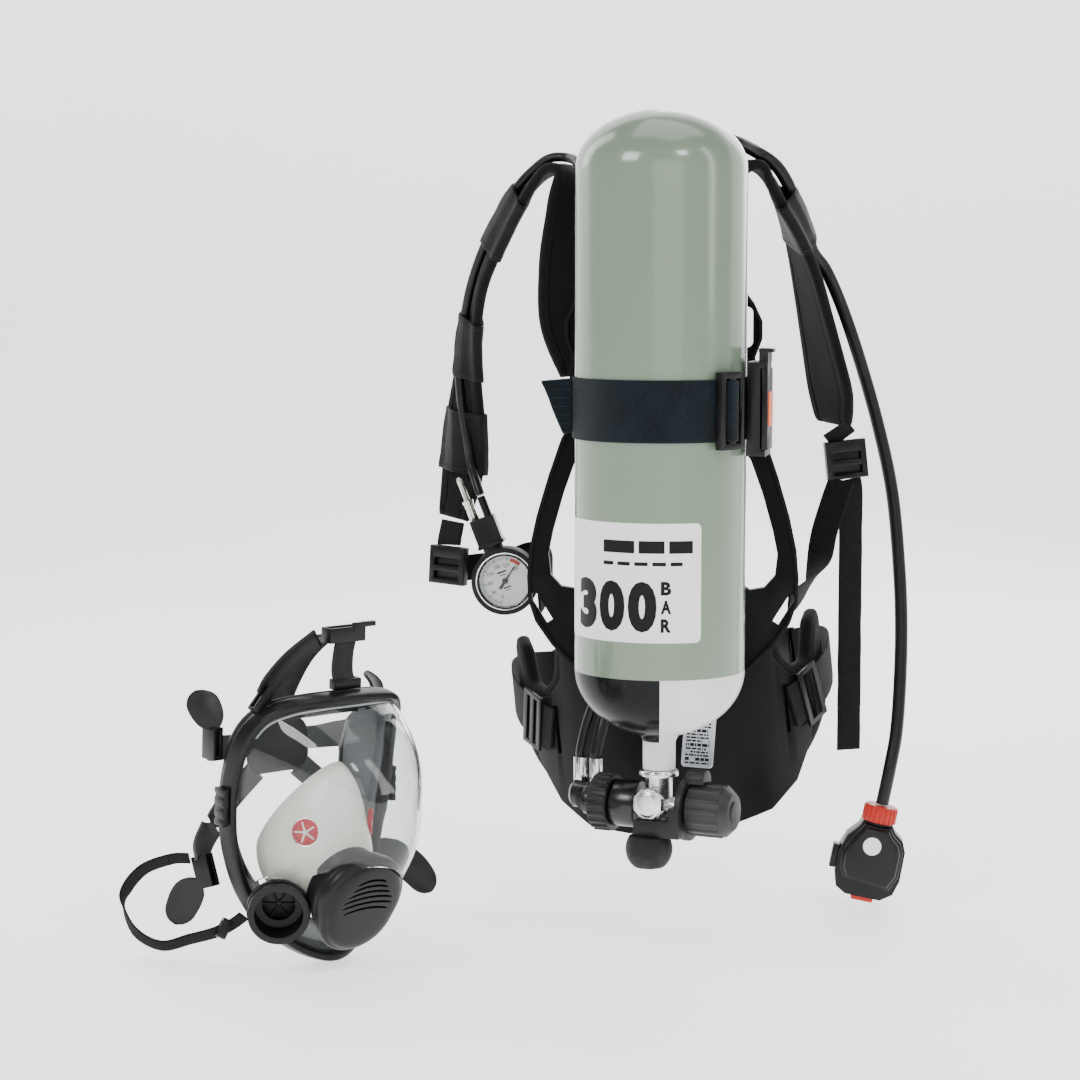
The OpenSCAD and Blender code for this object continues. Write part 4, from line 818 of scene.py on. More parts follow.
GH = [vw(-81.5, 21.2, 32.3), vw(-81.5, 21.2, 38), [-63, 52, 4], [-56, 54, 28], [-53, 57, 60], [-52, 58, 120], [-52, 58, 200], [-52, 58, 300], [-52, 58, 380], [-53, 60, 425], [-60, 72, 456], [-72, 92, 474]]
GH += [on_pad(LPs, LDs, i, -LH - (1.5 if i < 22 else 0.4), -2 * max(0, i - 39)) for i in (18, 20, 22, 24, 27, 30, 33, 36, 39, 42, 45, 47)] + [[-168.5, 178.5, 201], [-163.6, 172, 188]]
SU = [vw(-67, 21.2, 33.6), vw(-67, 21.2, 38), [-49, 49, 4], [-43, 59, 28], [-39, 67, 60], [-38, 66.5, 120], [-38, 66.5, 300], [-38, 66.5, 420], [-34, 69, 456], [-23, 69.6, 483.5], [2, 73, 495], [34, 80, 497], [58, 95, 493]]
SU += [on_pad(RPs, RDs, i, RH + (2 if i < 25 else 0.2)) for i in (20, 22, 24, 26, 29)]
SH = [on_pad(RPs, RDs, 29, RH + 0.2), on_pad(RPs, RDs, 31, RH + 0.2)] + [[138, 160, 384], [152, 154, 352], [167, 147, 308], [183, 137, 252], [195, 126, 196], [201, 114, 134], [203, 104, 84], [202, 95, 36], [199, 87, -6], [193.4, 80, -36], [189.1, 78, -57], [187.3, 78, -65.8]]

# ---------------------------------------------------------------- the free hose, and the two that run in the harness
shs = spline(SH, 8)
cu = bpy.data.curves.new("demand_hose", "CURVE")
cu.dimensions = "3D"
sp = cu.splines.new("POLY")
sp.points.add(len(shs) - 1)
for i, p in enumerate(R(shs)):
    sp.points[i].co = (*p, 1)
cu.bevel_depth = 0.0055
cu.bevel_resolution = 6
cu.use_fill_caps = True
cu.materials.append(m_hose)
demand_hose = bpy.data.objects.new("demand_hose", cu)
COL.objects.link(demand_hose)
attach(demand_hose, BODY["supply_hose"])
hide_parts("supply_hose")
loft("gauge_line", tube_rings(spline(GH, 8), 4.0, 20), m_hose, BODY["gauge_hose"], replaces=["gauge_hose"])
loft("supply_line", tube_rings(spline(SU, 8), 5.5, 24), m_hose, BODY["supply_hose_upper"], replaces=["supply_hose_upper"])


# ---------------------------------------------------------------- shoulder pads
def pad_section(w, t, wr):
    """closed section of a quilted pad, (across, through): rolled edges, a stitched channel inside each edge"""
    h = t / 2
    n = 26
    xs = w / 2 * np.sin(np.linspace(-math.pi / 2, math.pi / 2, n))
    out = []
    for sgn in (1, -1):
        row = xs if sgn > 0 else xs[::-1]
        for x in row:
            d = w / 2 - abs(x)
            y = h * math.sqrt(max(0, 1 - (1 - min(d / 4.2, 1)) ** 2)) if d < 4.2 else h
            y -= 1.5 * math.exp(-((d - 8.0) / 1.5) ** 2)
            y += wr * math.exp(-(x / (w * 0.25)) ** 2)
            out.append((x, sgn * y))
        out.pop()
    return np.array(out)


def shoulder(name, P0, D0, W0, node, seed):
    n = 10
    P, D, W = spline(P0, n), spline(D0, n), spline(W0, n).ravel() if np.ndim(W0) > 1 else spline(np.array(W0, float)[:, None], n).ravel()
    s = arc(P)
    T, Wd, U = frames(P, D)
    rings, top, bot = [], [], []
    for i in range(len(P)):
        e = min(s[i], s[-1] - s[i])
        close = math.sqrt(max(0.06, 1 - (1 - min(e / 7.0, 1)) ** 2))
        wr = 0.35 * noise.noise(Vector((s[i] / 23, seed, 0))) * (1 if 8 < e else 0)
        sec = pad_section(W[i] - 1.2, 9.0 * close, wr)
        row = []
        for x, y in sec:
            p = P[i] + x * Wd[i] + y * U[i]
            k = nz(p, 17, seed) * 0.45 + nz(p, 6, seed) * 0.12
            row.append(p + U[i] * (k if abs(x) < W[i] / 2 - 3 else k * 0.3) * (1 if y > 0 else -1) * close * 0.8)
        rings.append(row)
    o = loft(name, rings, m_pad, BODY[node], U=s, replaces=[node])
    lines, binds = [], []
    for sg in (-1, 1):
        for fc in (-1, 1):
            pts = [P[i] + sg * (W[i] / 2 - 0.6 - 8.0) * Wd[i] + fc * 2.75 * U[i] for i in range(6, len(P) - 6)]
            lines.append((pts, [fc * U[i] for i in range(6, len(P) - 6)]))
        # a tape folded round the edge
        sec = []
        for a in np.linspace(-1, 1, 15):
            q = a * 5.2
            if abs(q) < 2.6:
                ang = q / 2.6 * math.pi / 2
                sec.append((4.3 * math.cos(ang) * 1.02 + 0.15, 4.55 * math.sin(ang)))
            else:
                sec.append((0.15 - (abs(q) - 2.6) * 1.9, math.copysign(4.62, q)))
        sec = np.array(sec)
        inn = sec * np.array([1, 0.80]) - np.array([0.9, 0])
        full = np.vstack([sec, inn[::-1]])
        rr = []
        for i in range(3, len(P) - 3):
            c = P[i] + sg * (W[i] / 2 - 0.6 - 4.3) * Wd[i]
            rr.append([c + sg * x * Wd[i] + y * U[i] for x, y in full])
        binds.append(loft_data(rr, U=s[3:len(P) - 3]))
    V, F, UV = join_data(binds)
    make(name + "_binding", V, F, m_bind, BODY[node], uv=UV)
    stitches(name + "_stitching", lines, BODY[node])


shoulder("left_shoulder_pad", LP, LD, LW, "shoulder_pad_left", 1.3)
shoulder("right_shoulder_pad", RP, RD, RW, "shoulder_pad_right", 4.1)


def sleeve(P, D, a, b, w, t0, L, wall, seed):
    """a cloth sleeve round the pad and the hose on it, hemmed at both ends"""
    n = 5
    p, d = spline(P[a:b + 1], n), spline(D[a:b + 1], n)
    s = arc(p)
    T, Wd, U = frames(p, d)
    side = math.copysign(1, L)
    pad = 4.5 + 1.2

    def ring(i, inset):
        out = []
        hw = w / 2 + wall - inset
        reach = abs(L) + t0 / 2 + wall - inset
        near = t0 / 2 + wall - abs(L) - inset
        m = 44
        for k in range(m):
            q = 2 * math.pi * k / m
            c, sn = math.cos(q), math.sin(q)
            x = hw * math.copysign(abs(c) ** 0.42, c)
            if sn >= 0:
                top = (pad - inset) + (reach - pad) * math.exp(-(x / (hw * 0.52)) ** 4)
                y = top * abs(sn) ** 0.5
            else:
                y = -min(near, pad + 1.2 - inset) * abs(sn) ** 0.42
            pt = p[i] + x * Wd[i] + side * y * U[i]
            if inset == 0:
                pt = pt - unit(pt - p[i]) * (0.9 + 0.8 * nz(pt, 11, seed))
            out.append(pt)
        return out
    outer, inner = [], []
    for i in range(len(p)):
        e = min(s[i], s[-1] - s[i])
        hem = 0.0 if e > 5 else 0.0
        outer.append(ring(i, 0.0))
        inner.append(ring(i, 2.3))
    rings = outer + inner[::-1]
    m = len(rings[0])
    data = loft_data(rings, closed=True, U=np.concatenate([s, s[-1] + 1 + s]))
    lines = []
    for e in (2, len(p) - 3):
        cen = np.mean(outer[e], axis=0)
        pts = np.array(outer[e] + outer[e][:1])
        lines.append((pts, [unit(x - cen) for x in pts]))
    return data, lines


data, lines = [], []
for args in ((LPs, LDs, 24, 29, 52, 21, -4, 1.6, 0.4), (LPs, LDs, 35, 40, 51, 21, -4, 1.6, 2.2), (LPs, LDs, 43, 48, 51, 21, -4, 2, 5.2), (RPs, RDs, 25, 30, 62, 23, 5.5, 1.6, 7.7)):
    dd, ll = sleeve(*args)
    data.append(dd); lines += ll
V, F, UV = join_data(data)
make("sleeves", V, F, m_sleeve, BODY["hose_sleeves"], uv=UV, replaces=["hose_sleeves"])
stitches("sleeve_stitching", lines, BODY["hose_sleeves"], pitch=3.2, length=2.2, r=0.3, lift=0.1)


# ---------------------------------------------------------------- webbing
def web(P, D, w, t, n=6, wav=0.35, seed=0.0, L=0.0):
    P, D = spline(P, n), spline(D, n)
    s = arc(P)
    T, Wd, U = frames(P, D)
    sec = sec_web(w, t)
    rings = []
    for i in range(len(P)):
        e = min(1, min(s[i], s[-1] - s[i]) / 25)
        a = wav * e * noise.noise(Vector((s[i] / 28, seed, 3.1)))
        b = 0.5 * wav * e * noise.noise(Vector((s[i] / 15, seed, 9.4)))
        rings.append([P[i] + U[i] * (a + b * x / (w / 2) + L + y) + Wd[i] * x for x, y in sec])
    return loft_data(rings, U=s)


WL1 = [[-190.6, 204, 161], [-192, 203, 154], [-193.5, 201, 146], [-194, 200, 140]]
WL2 = [[-186, 206, 117], [-176, 209, 119], [-160, 209, 121], [-140, 208, 124], [-122, 206, 131], [-108, 194, 131], [-101, 172, 126], [-99, 148, 119], [-101, 124, 111], [-106, 95, 102]]
WR1 = [[148, 198, 246], [152, 202, 241], [156, 205, 236]]
WR2 = [[154, 201, 200], [147, 196, 180], [139, 188, 154], [134, 172, 130], [127, 146, 115], [116, 114, 107], [107, 95, 103]]
TAIL = [[161, 212, 200], [163, 212, 186], [163, 210, 120], [163, 209, 40], [163, 208, -42]]
V, F, UV = join_data([web(WL1, [[-.85, .5, 0], [-.87, .48, 0], [-.88, .47, 0], [-.88, .47, 0]], 25, 2),
                      web(WR1, [[.95, .25, 0]] * 3, 25, 2), web(TAIL, [[.9, .43, 0]] * 5, 23, 2, n=16, wav=1.0, seed=2.0)])
make("adjusting_webbing", V, F, m_web, BODY["shoulder_webbing"], uv=UV, replaces=["shoulder_webbing"])
V, F, UV = join_data([web(WL2, [[0, 0, 1]] * 10, 23, 2, n=8, wav=0.6, seed=3.0),
                      web(WR2, [[.97, .2, 0], [.97, .1, 0], [.9, .1, 0], [.75, 0, .4], [.5, .1, .8], [.3, .1, .9], [.2, .1, .95]], 23, 2, n=8, wav=0.5, seed=5.0)])
make("lower_adjusting_webbing", V, F, m_web, BODY["lower_webbing"], uv=UV, replaces=["lower_webbing"])


def hip_arc(a0, a1, n, r, z0, z1):
    return [[r * math.sin(math.radians(a0 + (a1 - a0) * k / n)), -r * math.cos(math.radians(a0 + (a1 - a0) * k / n)), z0 + (z1 - z0) * k / n] for k in range(n + 1)]


BELT = np.array(hip_arc(47, 84, 10, 143.6, -6, 20) + [[144, 10, 24], [142, 34, 25], [136, 58, 24], [126, 80, 21], [113, 98, 18]])
belts = []
for sg in (1, -1):
    B = BELT * np.array([sg, 1, 1])
    belts.append(web(at(M_HIP, B), [M_HIP[:3, :3] @ np.array([0, 0, 1.0])] * len(B), 38, 2, n=4, wav=0.4, seed=sg * 2.0))
V, F, UV = join_data(belts)
make("waist_belt", V, F, m_web, BODY["belt_webbing"], uv=UV, replaces=["belt_webbing"])

# strap round the cylinder: through both slots and across the wearer's side of the plate
path = [(71.3 * math.cos(a), 71.3 * math.sin(a)) for a in np.radians(np.arange(-2, -180, -3.0))]
path = [(71.35, 78), (71.35, 60), (71.35, 40), (71.35, 20)] + path[0:0] + [(71.3 * math.cos(a), 71.3 * math.sin(a)) for a in np.radians(np.arange(0, -181, -3.0))]
path += [(-71.35, 20), (-71.35, 40), (-71.35, 60), (-71.35, 78), (-71.2, 86), (-70, 89), (-67, 90.3), (-50, 90.3), (-25, 90.3), (0, 90.3), (25, 90.3), (50, 90.3), (67, 90.3), (70, 89), (71.2, 86)]
P = np.array([(x, y, 275) for x, y in path])
n = len(P)
rings = []
sec = sec_web(50, 2.0, across=13)
ss = arc(P)
for i in range(n):
    t = unit(P[(i + 1) % n] - P[i - 1])
    u = np.cross(t, [0, 0, 1.0])
    a = 0.15 * noise.noise(Vector((ss[i] / 30, 0.3, 1.7)))
    rings.append([P[i] + np.array([0, 0, 1.0]) * x + u * (y + a * 0.5) for x, y in sec])
d1 = loft_data(rings, closed=True, U=ss)
Mp = mat4(("T", (0, 0, 275)), ("Z", 8))
rows = []
for x, z0, z1 in ((-71, -20.5, 24), (-74, -20.5, 23.8), (-77, -21.2, 23.6), (-80, -21.6, 23.4), (-83, -15, 23.2), (-86, -8, 22.9), (-89, -0.5, 22.7), (-92, 8, 22.5), (-95, 15, 22.2), (-97.5, 20, 22)):
    w = z1 - z0
    rows.append([(x, y + 0.5 * math.sin(x / 5), (z0 + z1) / 2 + q) for q, y in sec_web(w, 3.6 if w > 6 else 1.8, across=13)])
d2 = loft_data(at(Mp, rows))
V, F, UV = join_data([d1, d2])
make("cylinder_strap_webbing", V, F, m_navy, BODY["cylinder_strap"], uv=UV, replaces=["cylinder_strap"])
Mb = mat4(("Z", 48 - 90), ("T", (72.9, 0, 275)))
fold = [(-1.2, -11.5), (-0.4, -8.6), (1.2, -6.6), (4.5, -5.6), (7.0, -4.9), (8.4, -3.4), (8.9, -1.2), (8.9, 1.2), (8.4, 3.4), (7.0, 4.9), (4.5, 5.6), (1.2, 6.6), (-0.4, 8.6), (-1.2, 11.5)]
Pf = at(Mb, [(x, y, 0) for x, y in fold])
V, F, UV = web(Pf, [[0, 0, 1]] * len(Pf), 49, 2, n=3, wav=0.0)
make("cylinder_strap_fold", V, F, m_navy, BODY["cylinder_strap"], uv=UV)
lines = []
for dz in (-13, -6, 1, 8, 15):
    lines.append((at(Mp, [(-73, -2.1, dz), (-84 if dz < 0 else -89, -2.1, dz)]), [Mp[:3, :3] @ np.array([0, -1.0, 0])] * 2))
stitches("cylinder_strap_stitching", lines, BODY["cylinder_strap"], pitch=3.0, length=2.2)

# ---------------------------------------------------------------- hip pad: quilted cloth over foam, bound round the edge
HIPPAD = [[0, -88], [42, -87], [74, -80], [100, -62], [122, -36], [138, -14], [150, -10], [150, 66], [130, 70], [124, 62], [119, 30], [106, 26], [96, 40], [94, 62], [88, 82], [60, 90], [0, 92]]
RM = 131.0
SMAX = RM * math.acos(10.8 / RM)


def hip_outline():
    half = []
    for x, z in HIPPAD:
        if x < RM * 0.995:
            s = RM * math.asin(x / RM)
        else:
            s = SMAX
        half.append((min(s, SMAX), z))
    half = [p for i, p in enumerate(half) if i == 0 or (abs(p[0] - half[i - 1][0]) + abs(p[1] - half[i - 1][1])) > 0.5]
    both = half + [(-s, z) for s, z in reversed(half) if s > 0.01]
    P = np.array(both)
    dense = []
    for i in range(len(P)):
        a, b = P[i], P[(i + 1) % len(P)]
        k = max(1, int(np.linalg.norm(b - a) / 4))
        dense += [a + (b - a) * j / k for j in range(k)]
    D = np.array(dense)
    for _ in range(3):
        D = 0.25 * np.roll(D, 1, 0) + 0.5 * D + 0.25 * np.roll(D, -1, 0)
    return D


OUT = hip_outline()


def edge_distance(s, z):
    a, b = OUT, np.roll(OUT, -1, 0)
    p = np.array([s, z])
    ab = b - a
    t = np.clip(((p - a) * ab).sum(1) / np.maximum(1e-9, (ab * ab).sum(1)), 0, 1)
    return float(np.sqrt((((a + ab * t[:, None]) - p) ** 2).sum(1).min()))


def hip_point(s, z, r):
    a = s / RM
    return np.array([r * math.sin(a), -r * math.cos(a), z])


def hip_pad():
    """a flat cushion of the outline, quilted, then bent round the wearer's back"""
    n = len(OUT)
    V = [(p[0], -7.6, p[1]) for p in OUT] + [(p[0], 7.6, p[1]) for p in OUT]
    F = [list(range(n)), list(range(2 * n - 1, n - 1, -1))] + [[i, (i + 1) % n, n + (i + 1) % n, n + i] for i in range(n)]
    me = bpy.data.meshes.new("hip_pad_cushion")
    me.from_pydata([tuple(v) for v in R(V)], [], F)
    bm = bmesh.new(); bm.from_mesh(me)
    bmesh.ops.triangulate(bm, faces=bm.faces)
    bmesh.ops.recalc_face_normals(bm, faces=bm.faces)
    bm.to_mesh(me); bm.free()
    o = bpy.data.objects.new("hip_pad_cushion", me)
    COL.objects.link(o)
    hole = [[(21 * math.cos(a), y, 60 + 21 * math.sin(a)) for a in np.linspace(0, 2 * math.pi, 48, endpoint=False)] for y in (-20, 20)]
    v, f, _ = loft_data(hole)
    cut(o, [(v, f)])

    def build(x):
        md = x.modifiers.new("r", "REMESH")
        md.mode = "VOXEL"
        md.voxel_size = 0.0032
    baked(o, build)
    me = o.data
    flat = np.array([v.co for v in me.vertices]) * 1000 + HOOK
    new = np.empty_like(flat)
    for i, (s, y, z) in enumerate(flat):
        d = edge_distance(s, z)
        rr = math.hypot(s, z - 60)
        d = min(d, max(0, rr - 21))
        f = max(-1, min(1, y / 7.6))
        h = 7.6 * (0.25 + 0.75 * math.sqrt(max(0, 1 - (1 - min(d / 8.0, 1)) ** 2)))
        h -= 2.2 * math.exp(-((d - 13.0) / 2.0) ** 2)
        for q in (-95, -48, 48, 95):
            h -= 1.6 * math.exp(-((s - q) / 2.2) ** 2) * min(1, max(0, d - 13) / 8)
        h += 0.8 * noise.noise(Vector((s / 26, z / 26, 2.2))) * min(1, d / 16)
        h += 0.35 * noise.noise(Vector((s / 9, z / 9, 6.2))) * min(1, d / 16)
        new[i] = hip_point(s, z, RM + f * h)
    for v, p in zip(me.vertices, R(at(M_HIP, new))):
        v.co = p

    def build2(x):
        md = x.modifiers.new("s", "SMOOTH")
        md.factor = 0.5
        md.iterations = 3
        md = x.modifiers.new("d", "SUBSURF")
        md.levels = md.render_levels = 1
    baked(o, build2)
    me = o.data
    bm = bmesh.new(); bm.from_mesh(me)
    bmesh.ops.recalc_face_normals(bm, faces=bm.faces)
    bm.to_mesh(me); bm.free()
    inv = np.linalg.inv(M_HIP)
    co = at(inv, np.array([v.co for v in me.vertices]) * 1000 + HOOK)
    ang = np.arctan2(co[:, 0], -co[:, 1]) * RM
    lay = me.uv_layers.new(name="UVMap")
    for lp in me.loops:
        lay.data[lp.index].uv = (ang[lp.vertex_index], co[lp.vertex_index][2])
    me.materials.clear()
    me.materials.append(m_pad)
    me.polygons.foreach_set("use_smooth", [True] * len(me.polygons))
    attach(o, BODY["hip_pad"])
    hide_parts("hip_pad")
    # binding tape
    ring = []
    n = len(OUT)
    step = 1
    idx = list(range(0, n, step))
    for i in idx:
        s, z = OUT[i]
        t = OUT[(i + 2) % n] - OUT[i - 2]
        t = t / max(1e-9, np.linalg.norm(t))
        nin = np.array([-t[1], t[0]])
        sec = []
        for q, e in ((4.9, 7.5), (5.0, 4.0), (4.3, 1.2), (2.6, -0.7), (0, -1.3), (-2.6, -0.7), (-4.3, 1.2), (-5.0, 4.0), (-4.9, 7.5), (-4.0, 7.5), (-3.6, 2.2), (0, 0.6), (3.6, 2.2), (4.0, 7.5)):
            sec.append(hip_point(s + nin[0] * e, z + nin[1] * e, RM + q * 1.25))
        ring.append(sec)
    loft("hip_pad_binding", at(M_HIP, ring), m_bind, BODY["hip_pad"], closed=True)
    pts, nor = [], []
    for i in list(range(0, n, 2)) + [0]:
        s, z = OUT[i]
        t = OUT[(i + 3) % n] - OUT[i - 3]
        t = t / max(1e-9, np.linalg.norm(t))
        nin = np.array([-t[1], t[0]])
        for k, (r, sg) in enumerate(((RM + 5.9, 1), (RM - 5.9, -1))):
            if i == 0 and len(pts) < 2:
                pts.append([]); nor.append([])
            q = hip_point(s + nin[0] * 13, z + nin[1] * 13, r)
            pts[k].append(at(M_HIP, q))
            nor[k].append(sg * (M_HIP[:3, :3] @ np.array([math.sin(s / RM), -math.cos(s / RM), 0])))
    stitches("hip_pad_stitching", list(zip(pts, nor)), BODY["hip_pad"], pitch=4.2, length=3.0, r=0.38, lift=-0.1)


hip_pad()

# ---------------------------------------------------------------- rigid parts, with rounded edges
for node, bev in (("backplate", 1.0), ("cradle_pads", 1.2), ("plate_screws", 0.5), ("valve_body", 0.5), ("valve_plug", 0.8), ("valve_guard", 1.4),
                  ("bumper_foot", 1.4), ("outlet_collar", 0.8), ("reducer_body", 0.7), ("hose_ferrules", 0.35), ("buckle_base", 0.9), ("buckle_lever", 1.0),
                  ("buckle_pin", 0.3), ("buckle_mark", 0.5), ("shoulder_buckles", 0.8), ("swivel_pin", 0.6), ("lumbar_shell", 1.0), ("belt_sliders", 0.8),
                  ("belt_buckle", 1.2), ("whistle_block", 0.9), ("gauge_stem", 0.3), ("handwheel", 0.7), ("coupling_wheel", 0.6), ("gauge_boot", 1.6),
                  ("demand_body", 1.6), ("demand_spigot", 0.5), ("bypass_ring", 0.5), ("standby_button", 1.3), ("release_latch", 0.7),
                  ("bezel_clamps", 0.7), ("speech_housing", 0.4), ("mask_port", 0.6), ("harness_buckles", 0.8)):
    solid("m_" + node, node, bev=bev)

# whistle: a turned tube with a mouth slot, a collar and a rounded tip
MW = M_GAUGE @ mat4(("T", (-6.5, 0, 59.05)))
lathe([(0, 0.02), (4.0, 0.02), (4.3, 0.4), (4.3, 9.6), (3.9, 9.9), (3.9, 10.9), (4.3, 11.2), (4.3, 15.6), (5.0, 15.9), (5.0, 18.3), (4.3, 18.7), (2.9, 19.3), (2.6, 20), (2.6, 37), (2.5, 38.4), (1.9, 39.8), (1.0, 40.5), (0, 40.6)],
      MW, 40, name="whistle_tube", mat=m_nickel, body=BODY["whistle"], replaces=["whistle"])

# data plate: brushed metal with a raised rim and rows of plain marks
MD = mat4(("T", (32, 70, -4)), ("Y", 4), ("X", 90))


def rounded_rect(w, h, r, k=6):
    out = []
    for cx, cy, a0 in ((w / 2 - r, h / 2 - r, 0), (-w / 2 + r, h / 2 - r, 90), (-w / 2 + r, -h / 2 + r, 180), (w / 2 - r, -h / 2 + r, 270)):
        out += [(cx + r * math.cos(math.radians(a0 + 90 * i / k)), cy + r * math.sin(math.radians(a0 + 90 * i / k))) for i in range(k + 1)]
    return np.array(out)


def slab(outline, levels, M):
    """closed rings of an outline, (inset, height) at each level"""
    c = outline.mean(0)
    rings = []
    for ins, z in levels:
        f = 1 - ins / np.maximum(1e-6, np.abs(outline - c).max(0))
        rings.append([(c[0] + (p[0] - c[0]) * f[0], c[1] + (p[1] - c[1]) * f[1], z) for p in outline])
    return loft_data(at(M, rings))


V, F, UV = slab(rounded_rect(27, 62, 3.2), [(0.15, -0.6), (0, -0.45), (0, 0.45), (0.2, 0.6), (1.1, 0.6), (1.3, 0.42)], MD)
make("data_plate_metal", V, F, m_alu, BODY["data_plate"], uv=UV, replaces=["data_plate"], sharp=30)
m_print = plastic("print_black", (0.0035, 0.0035, 0.004), 0.5, wear=0.0, grain=900, spec=0.2)
m_white = plastic("print_white", (0.87, 0.87, 0.865), 0.38, var=0.03, wear=0.0, grain=900)
bars = []
rng = np.random.RandomState(7)
y = 26.5
row = 0
while y > -27:
    h = 1.5 if row % 4 else 2.6
    x = -10.5
    while x < 9:
        w = min(10.5 - x, rng.uniform(1.5, 5.5))
        if w > 1.0 and rng.rand() > 0.12:
            bars.append(quad_strip(x, x + w - 0.7, y - h, y))
        x += w
    y -= h + 1.3
    row += 1
decal("data_plate_marks", bars, lambda a, b, t: at(MD, (a, b, 0.42 + t)), m_print, BODY["data_plate"], thick=0.05)

# ---------------------------------------------------------------- label on the cylinder
def on_cyl(a, z, t):
    q = math.radians(a + 1.6)
    return np.array([(70 + t) * math.sin(q), -(70 + t) * math.cos(q), z])


K = math.radians(1) * 70
bars = [quad_strip(-85 * K, 28 * K, 90, 186, n=70, r=4.5)]
V, F, off = [], [], 0
for v, f in bars:
    V += [on_cyl(p[0] / K, p[1], 0.14) for p in v]
    F += [[i + off for i in q] for q in f]
make("cylinder_label", np.array(V), F, m_white, BODY["cylinder_shell"], recalc=False)
marks = []
for ch, a0, a1 in (("3", -66.5, -46), ("0", -43.6, -23.6), ("0", -21.4, -2.0)):
    v, f = text_flat(ch, (a1 - a0) * K, 41, bold=0.62, step=1.6)
    v[:, 0] += a0 * K
    v[:, 1] += 98.5
    marks.append((v, f))
for ch, z in (("B", 129), ("A", 114), ("R", 99)):
    v, f = text_flat(ch, 6.8 * K, 11, bold=0.5, step=1.6)
    v[:, 0] += 0.7 * K
    v[:, 1] += z - 0.4
    marks.append((v, f))
for z, h, segs in ((162, 10, ((-40, -17), (-14, 3), (6, 22))), (152, 3, ((-40, -32), (-29, -20), (-17, -8), (-5, 4), (7, 15)))):
    for a, b in segs:
        marks.append(quad_strip(a * K, b * K, z, z + h, n=max(2, int((b - a) / 1.5)), r=0.6))
decal("cylinder_label_print", marks, lambda a, b, t: on_cyl(a / K, b, t), m_print, BODY["cylinder_shell"], thick=0.24)

# ---------------------------------------------------------------- gauge: dial, marks, needle, ring and lens
MGD = M_GAUGE @ mat4(("X", 90))
lathe([(1.15, 5.12), (22.9, 5.12), (22.9, 6.05), (1.15, 6.05)], MGD, 72, name="gauge_dial_plate", mat=m_dial, body=BODY["gauge_dial"], closed_profile=True, replaces=["gauge_dial"])
lathe([(23.3, 5.2), (21.6, 5.4), (21.6, 8.2), (22.2, 8.7), (22.9, 10.9), (24.6, 12.1), (25.4, 12.1), (25.7, 11.2), (23.9, 10.2), (23.3, 8.8)], MGD, 72, name="gauge_ring", mat=m_chrome, body=BODY["gauge_boot"], closed_profile=True)
lathe([(0, 9.05), (21.8, 9.05), (22.8, 9.2), (22.8, 10.3), (21.6, 10.9), (12, 11.3), (0, 11.5)], MGD, 72, name="gauge_glass", mat=m_lens, body=BODY["gauge_lens"], replaces=["gauge_lens"])


def dial(a, r, dx=0, dy=0):
    q = math.radians(a)
    return (r * math.sin(q) + dx, r * math.cos(q) + dy, 0)


def ray(a, r0, r1, w):
    q = math.radians(a)
    d, n = np.array([math.sin(q), math.cos(q), 0]), np.array([math.cos(q), -math.sin(q), 0])
    return np.array([d * r0 - n * w / 2, d * r0 + n * w / 2, d * r1 + n * w / 2, d * r1 - n * w / 2]), [[0, 1, 2, 3]]


def sector(a0, a1, r0, r1, n=24):
    V, F = [], []
    for i in range(n + 1):
        q = math.radians(a0 + (a1 - a0) * i / n)
        V += [(r0 * math.sin(q), r0 * math.cos(q), 0), (r1 * math.sin(q), r1 * math.cos(q), 0)]
    for i in range(n):
        F.append([2 * i, 2 * i + 2, 2 * i + 3, 2 * i + 1])
    return np.array(V), F


marks = []
for k in range(61):
    a = -150 + 3.5 * k
    big = k % 10 == 0
    marks.append(ray(a, 17.6 if big else (18.6 if k % 5 else 18.1), 20.6, 0.62 if big else 0.28))
for k, s in enumerate(("0", "50", "100", "150", "200", "250", "300")):
    a = -150 + 35 * k
    v, f = text_flat(s, 1.9 * len(s), 3.1, bold=0.12)
    c = dial(a, 14.0)
    v = v + np.array([c[0] - 0.95 * len(s), c[1] - 1.55, 0])
    marks.append((v, f))
for yy, w, h in ((7.6, 8.5, 1.5), (5.2, 5.5, 0.8), (-6.4, 7.0, 1.2), (-8.6, 5.0, 0.8)):
    marks.append(quad_strip(-w / 2, w / 2, yy, yy + h, n=2))
decal("gauge_marks", marks, lambda x, y, t: at(MGD, (x, y, 6.06 + t)), m_print, BODY["gauge_dial"], thick=0.05)
decal("gauge_red_zone", [sector(34, 62, 17.4, 20.6)], lambda x, y, t: at(MGD, (x, y, 6.06 + t)), m_red, BODY["gauge_dial"], thick=0.035)
# needle: a tapered blade with a counterweight and a domed hub
MN_ = M_GAUGE @ mat4(("Y", 32 + 21), ("X", 90))
blade = np.array([(-1.35, -7.6), (-1.0, -2.2), (-0.75, 2), (-0.28, 16.2), (0, 17), (0.28, 16.2), (0.75, 2), (1.0, -2.2), (1.35, -7.6), (0.8, -8.2), (-0.8, -8.2)])
V1 = slab(blade, [(0.02, 6.9), (0, 7.0), (0, 7.25), (0.05, 7.32)], MN_)
hub = at(MN_, [[(r * math.cos(a), r * math.sin(a), z) for a in np.linspace(0, 2 * math.pi, 24, endpoint=False)] for r, z in ((1.0, 5.3), (1.0, 6.7), (2.5, 6.8), (2.55, 7.4), (2.1, 7.9), (0.9, 8.15), (0.1, 8.2))])
V2 = loft_data(hub)
V, F, UV = join_data([V1, V2])
make("gauge_pointer", V, F, m_needle, BODY["gauge_needle"], uv=UV, replaces=["gauge_needle"], sharp=30)

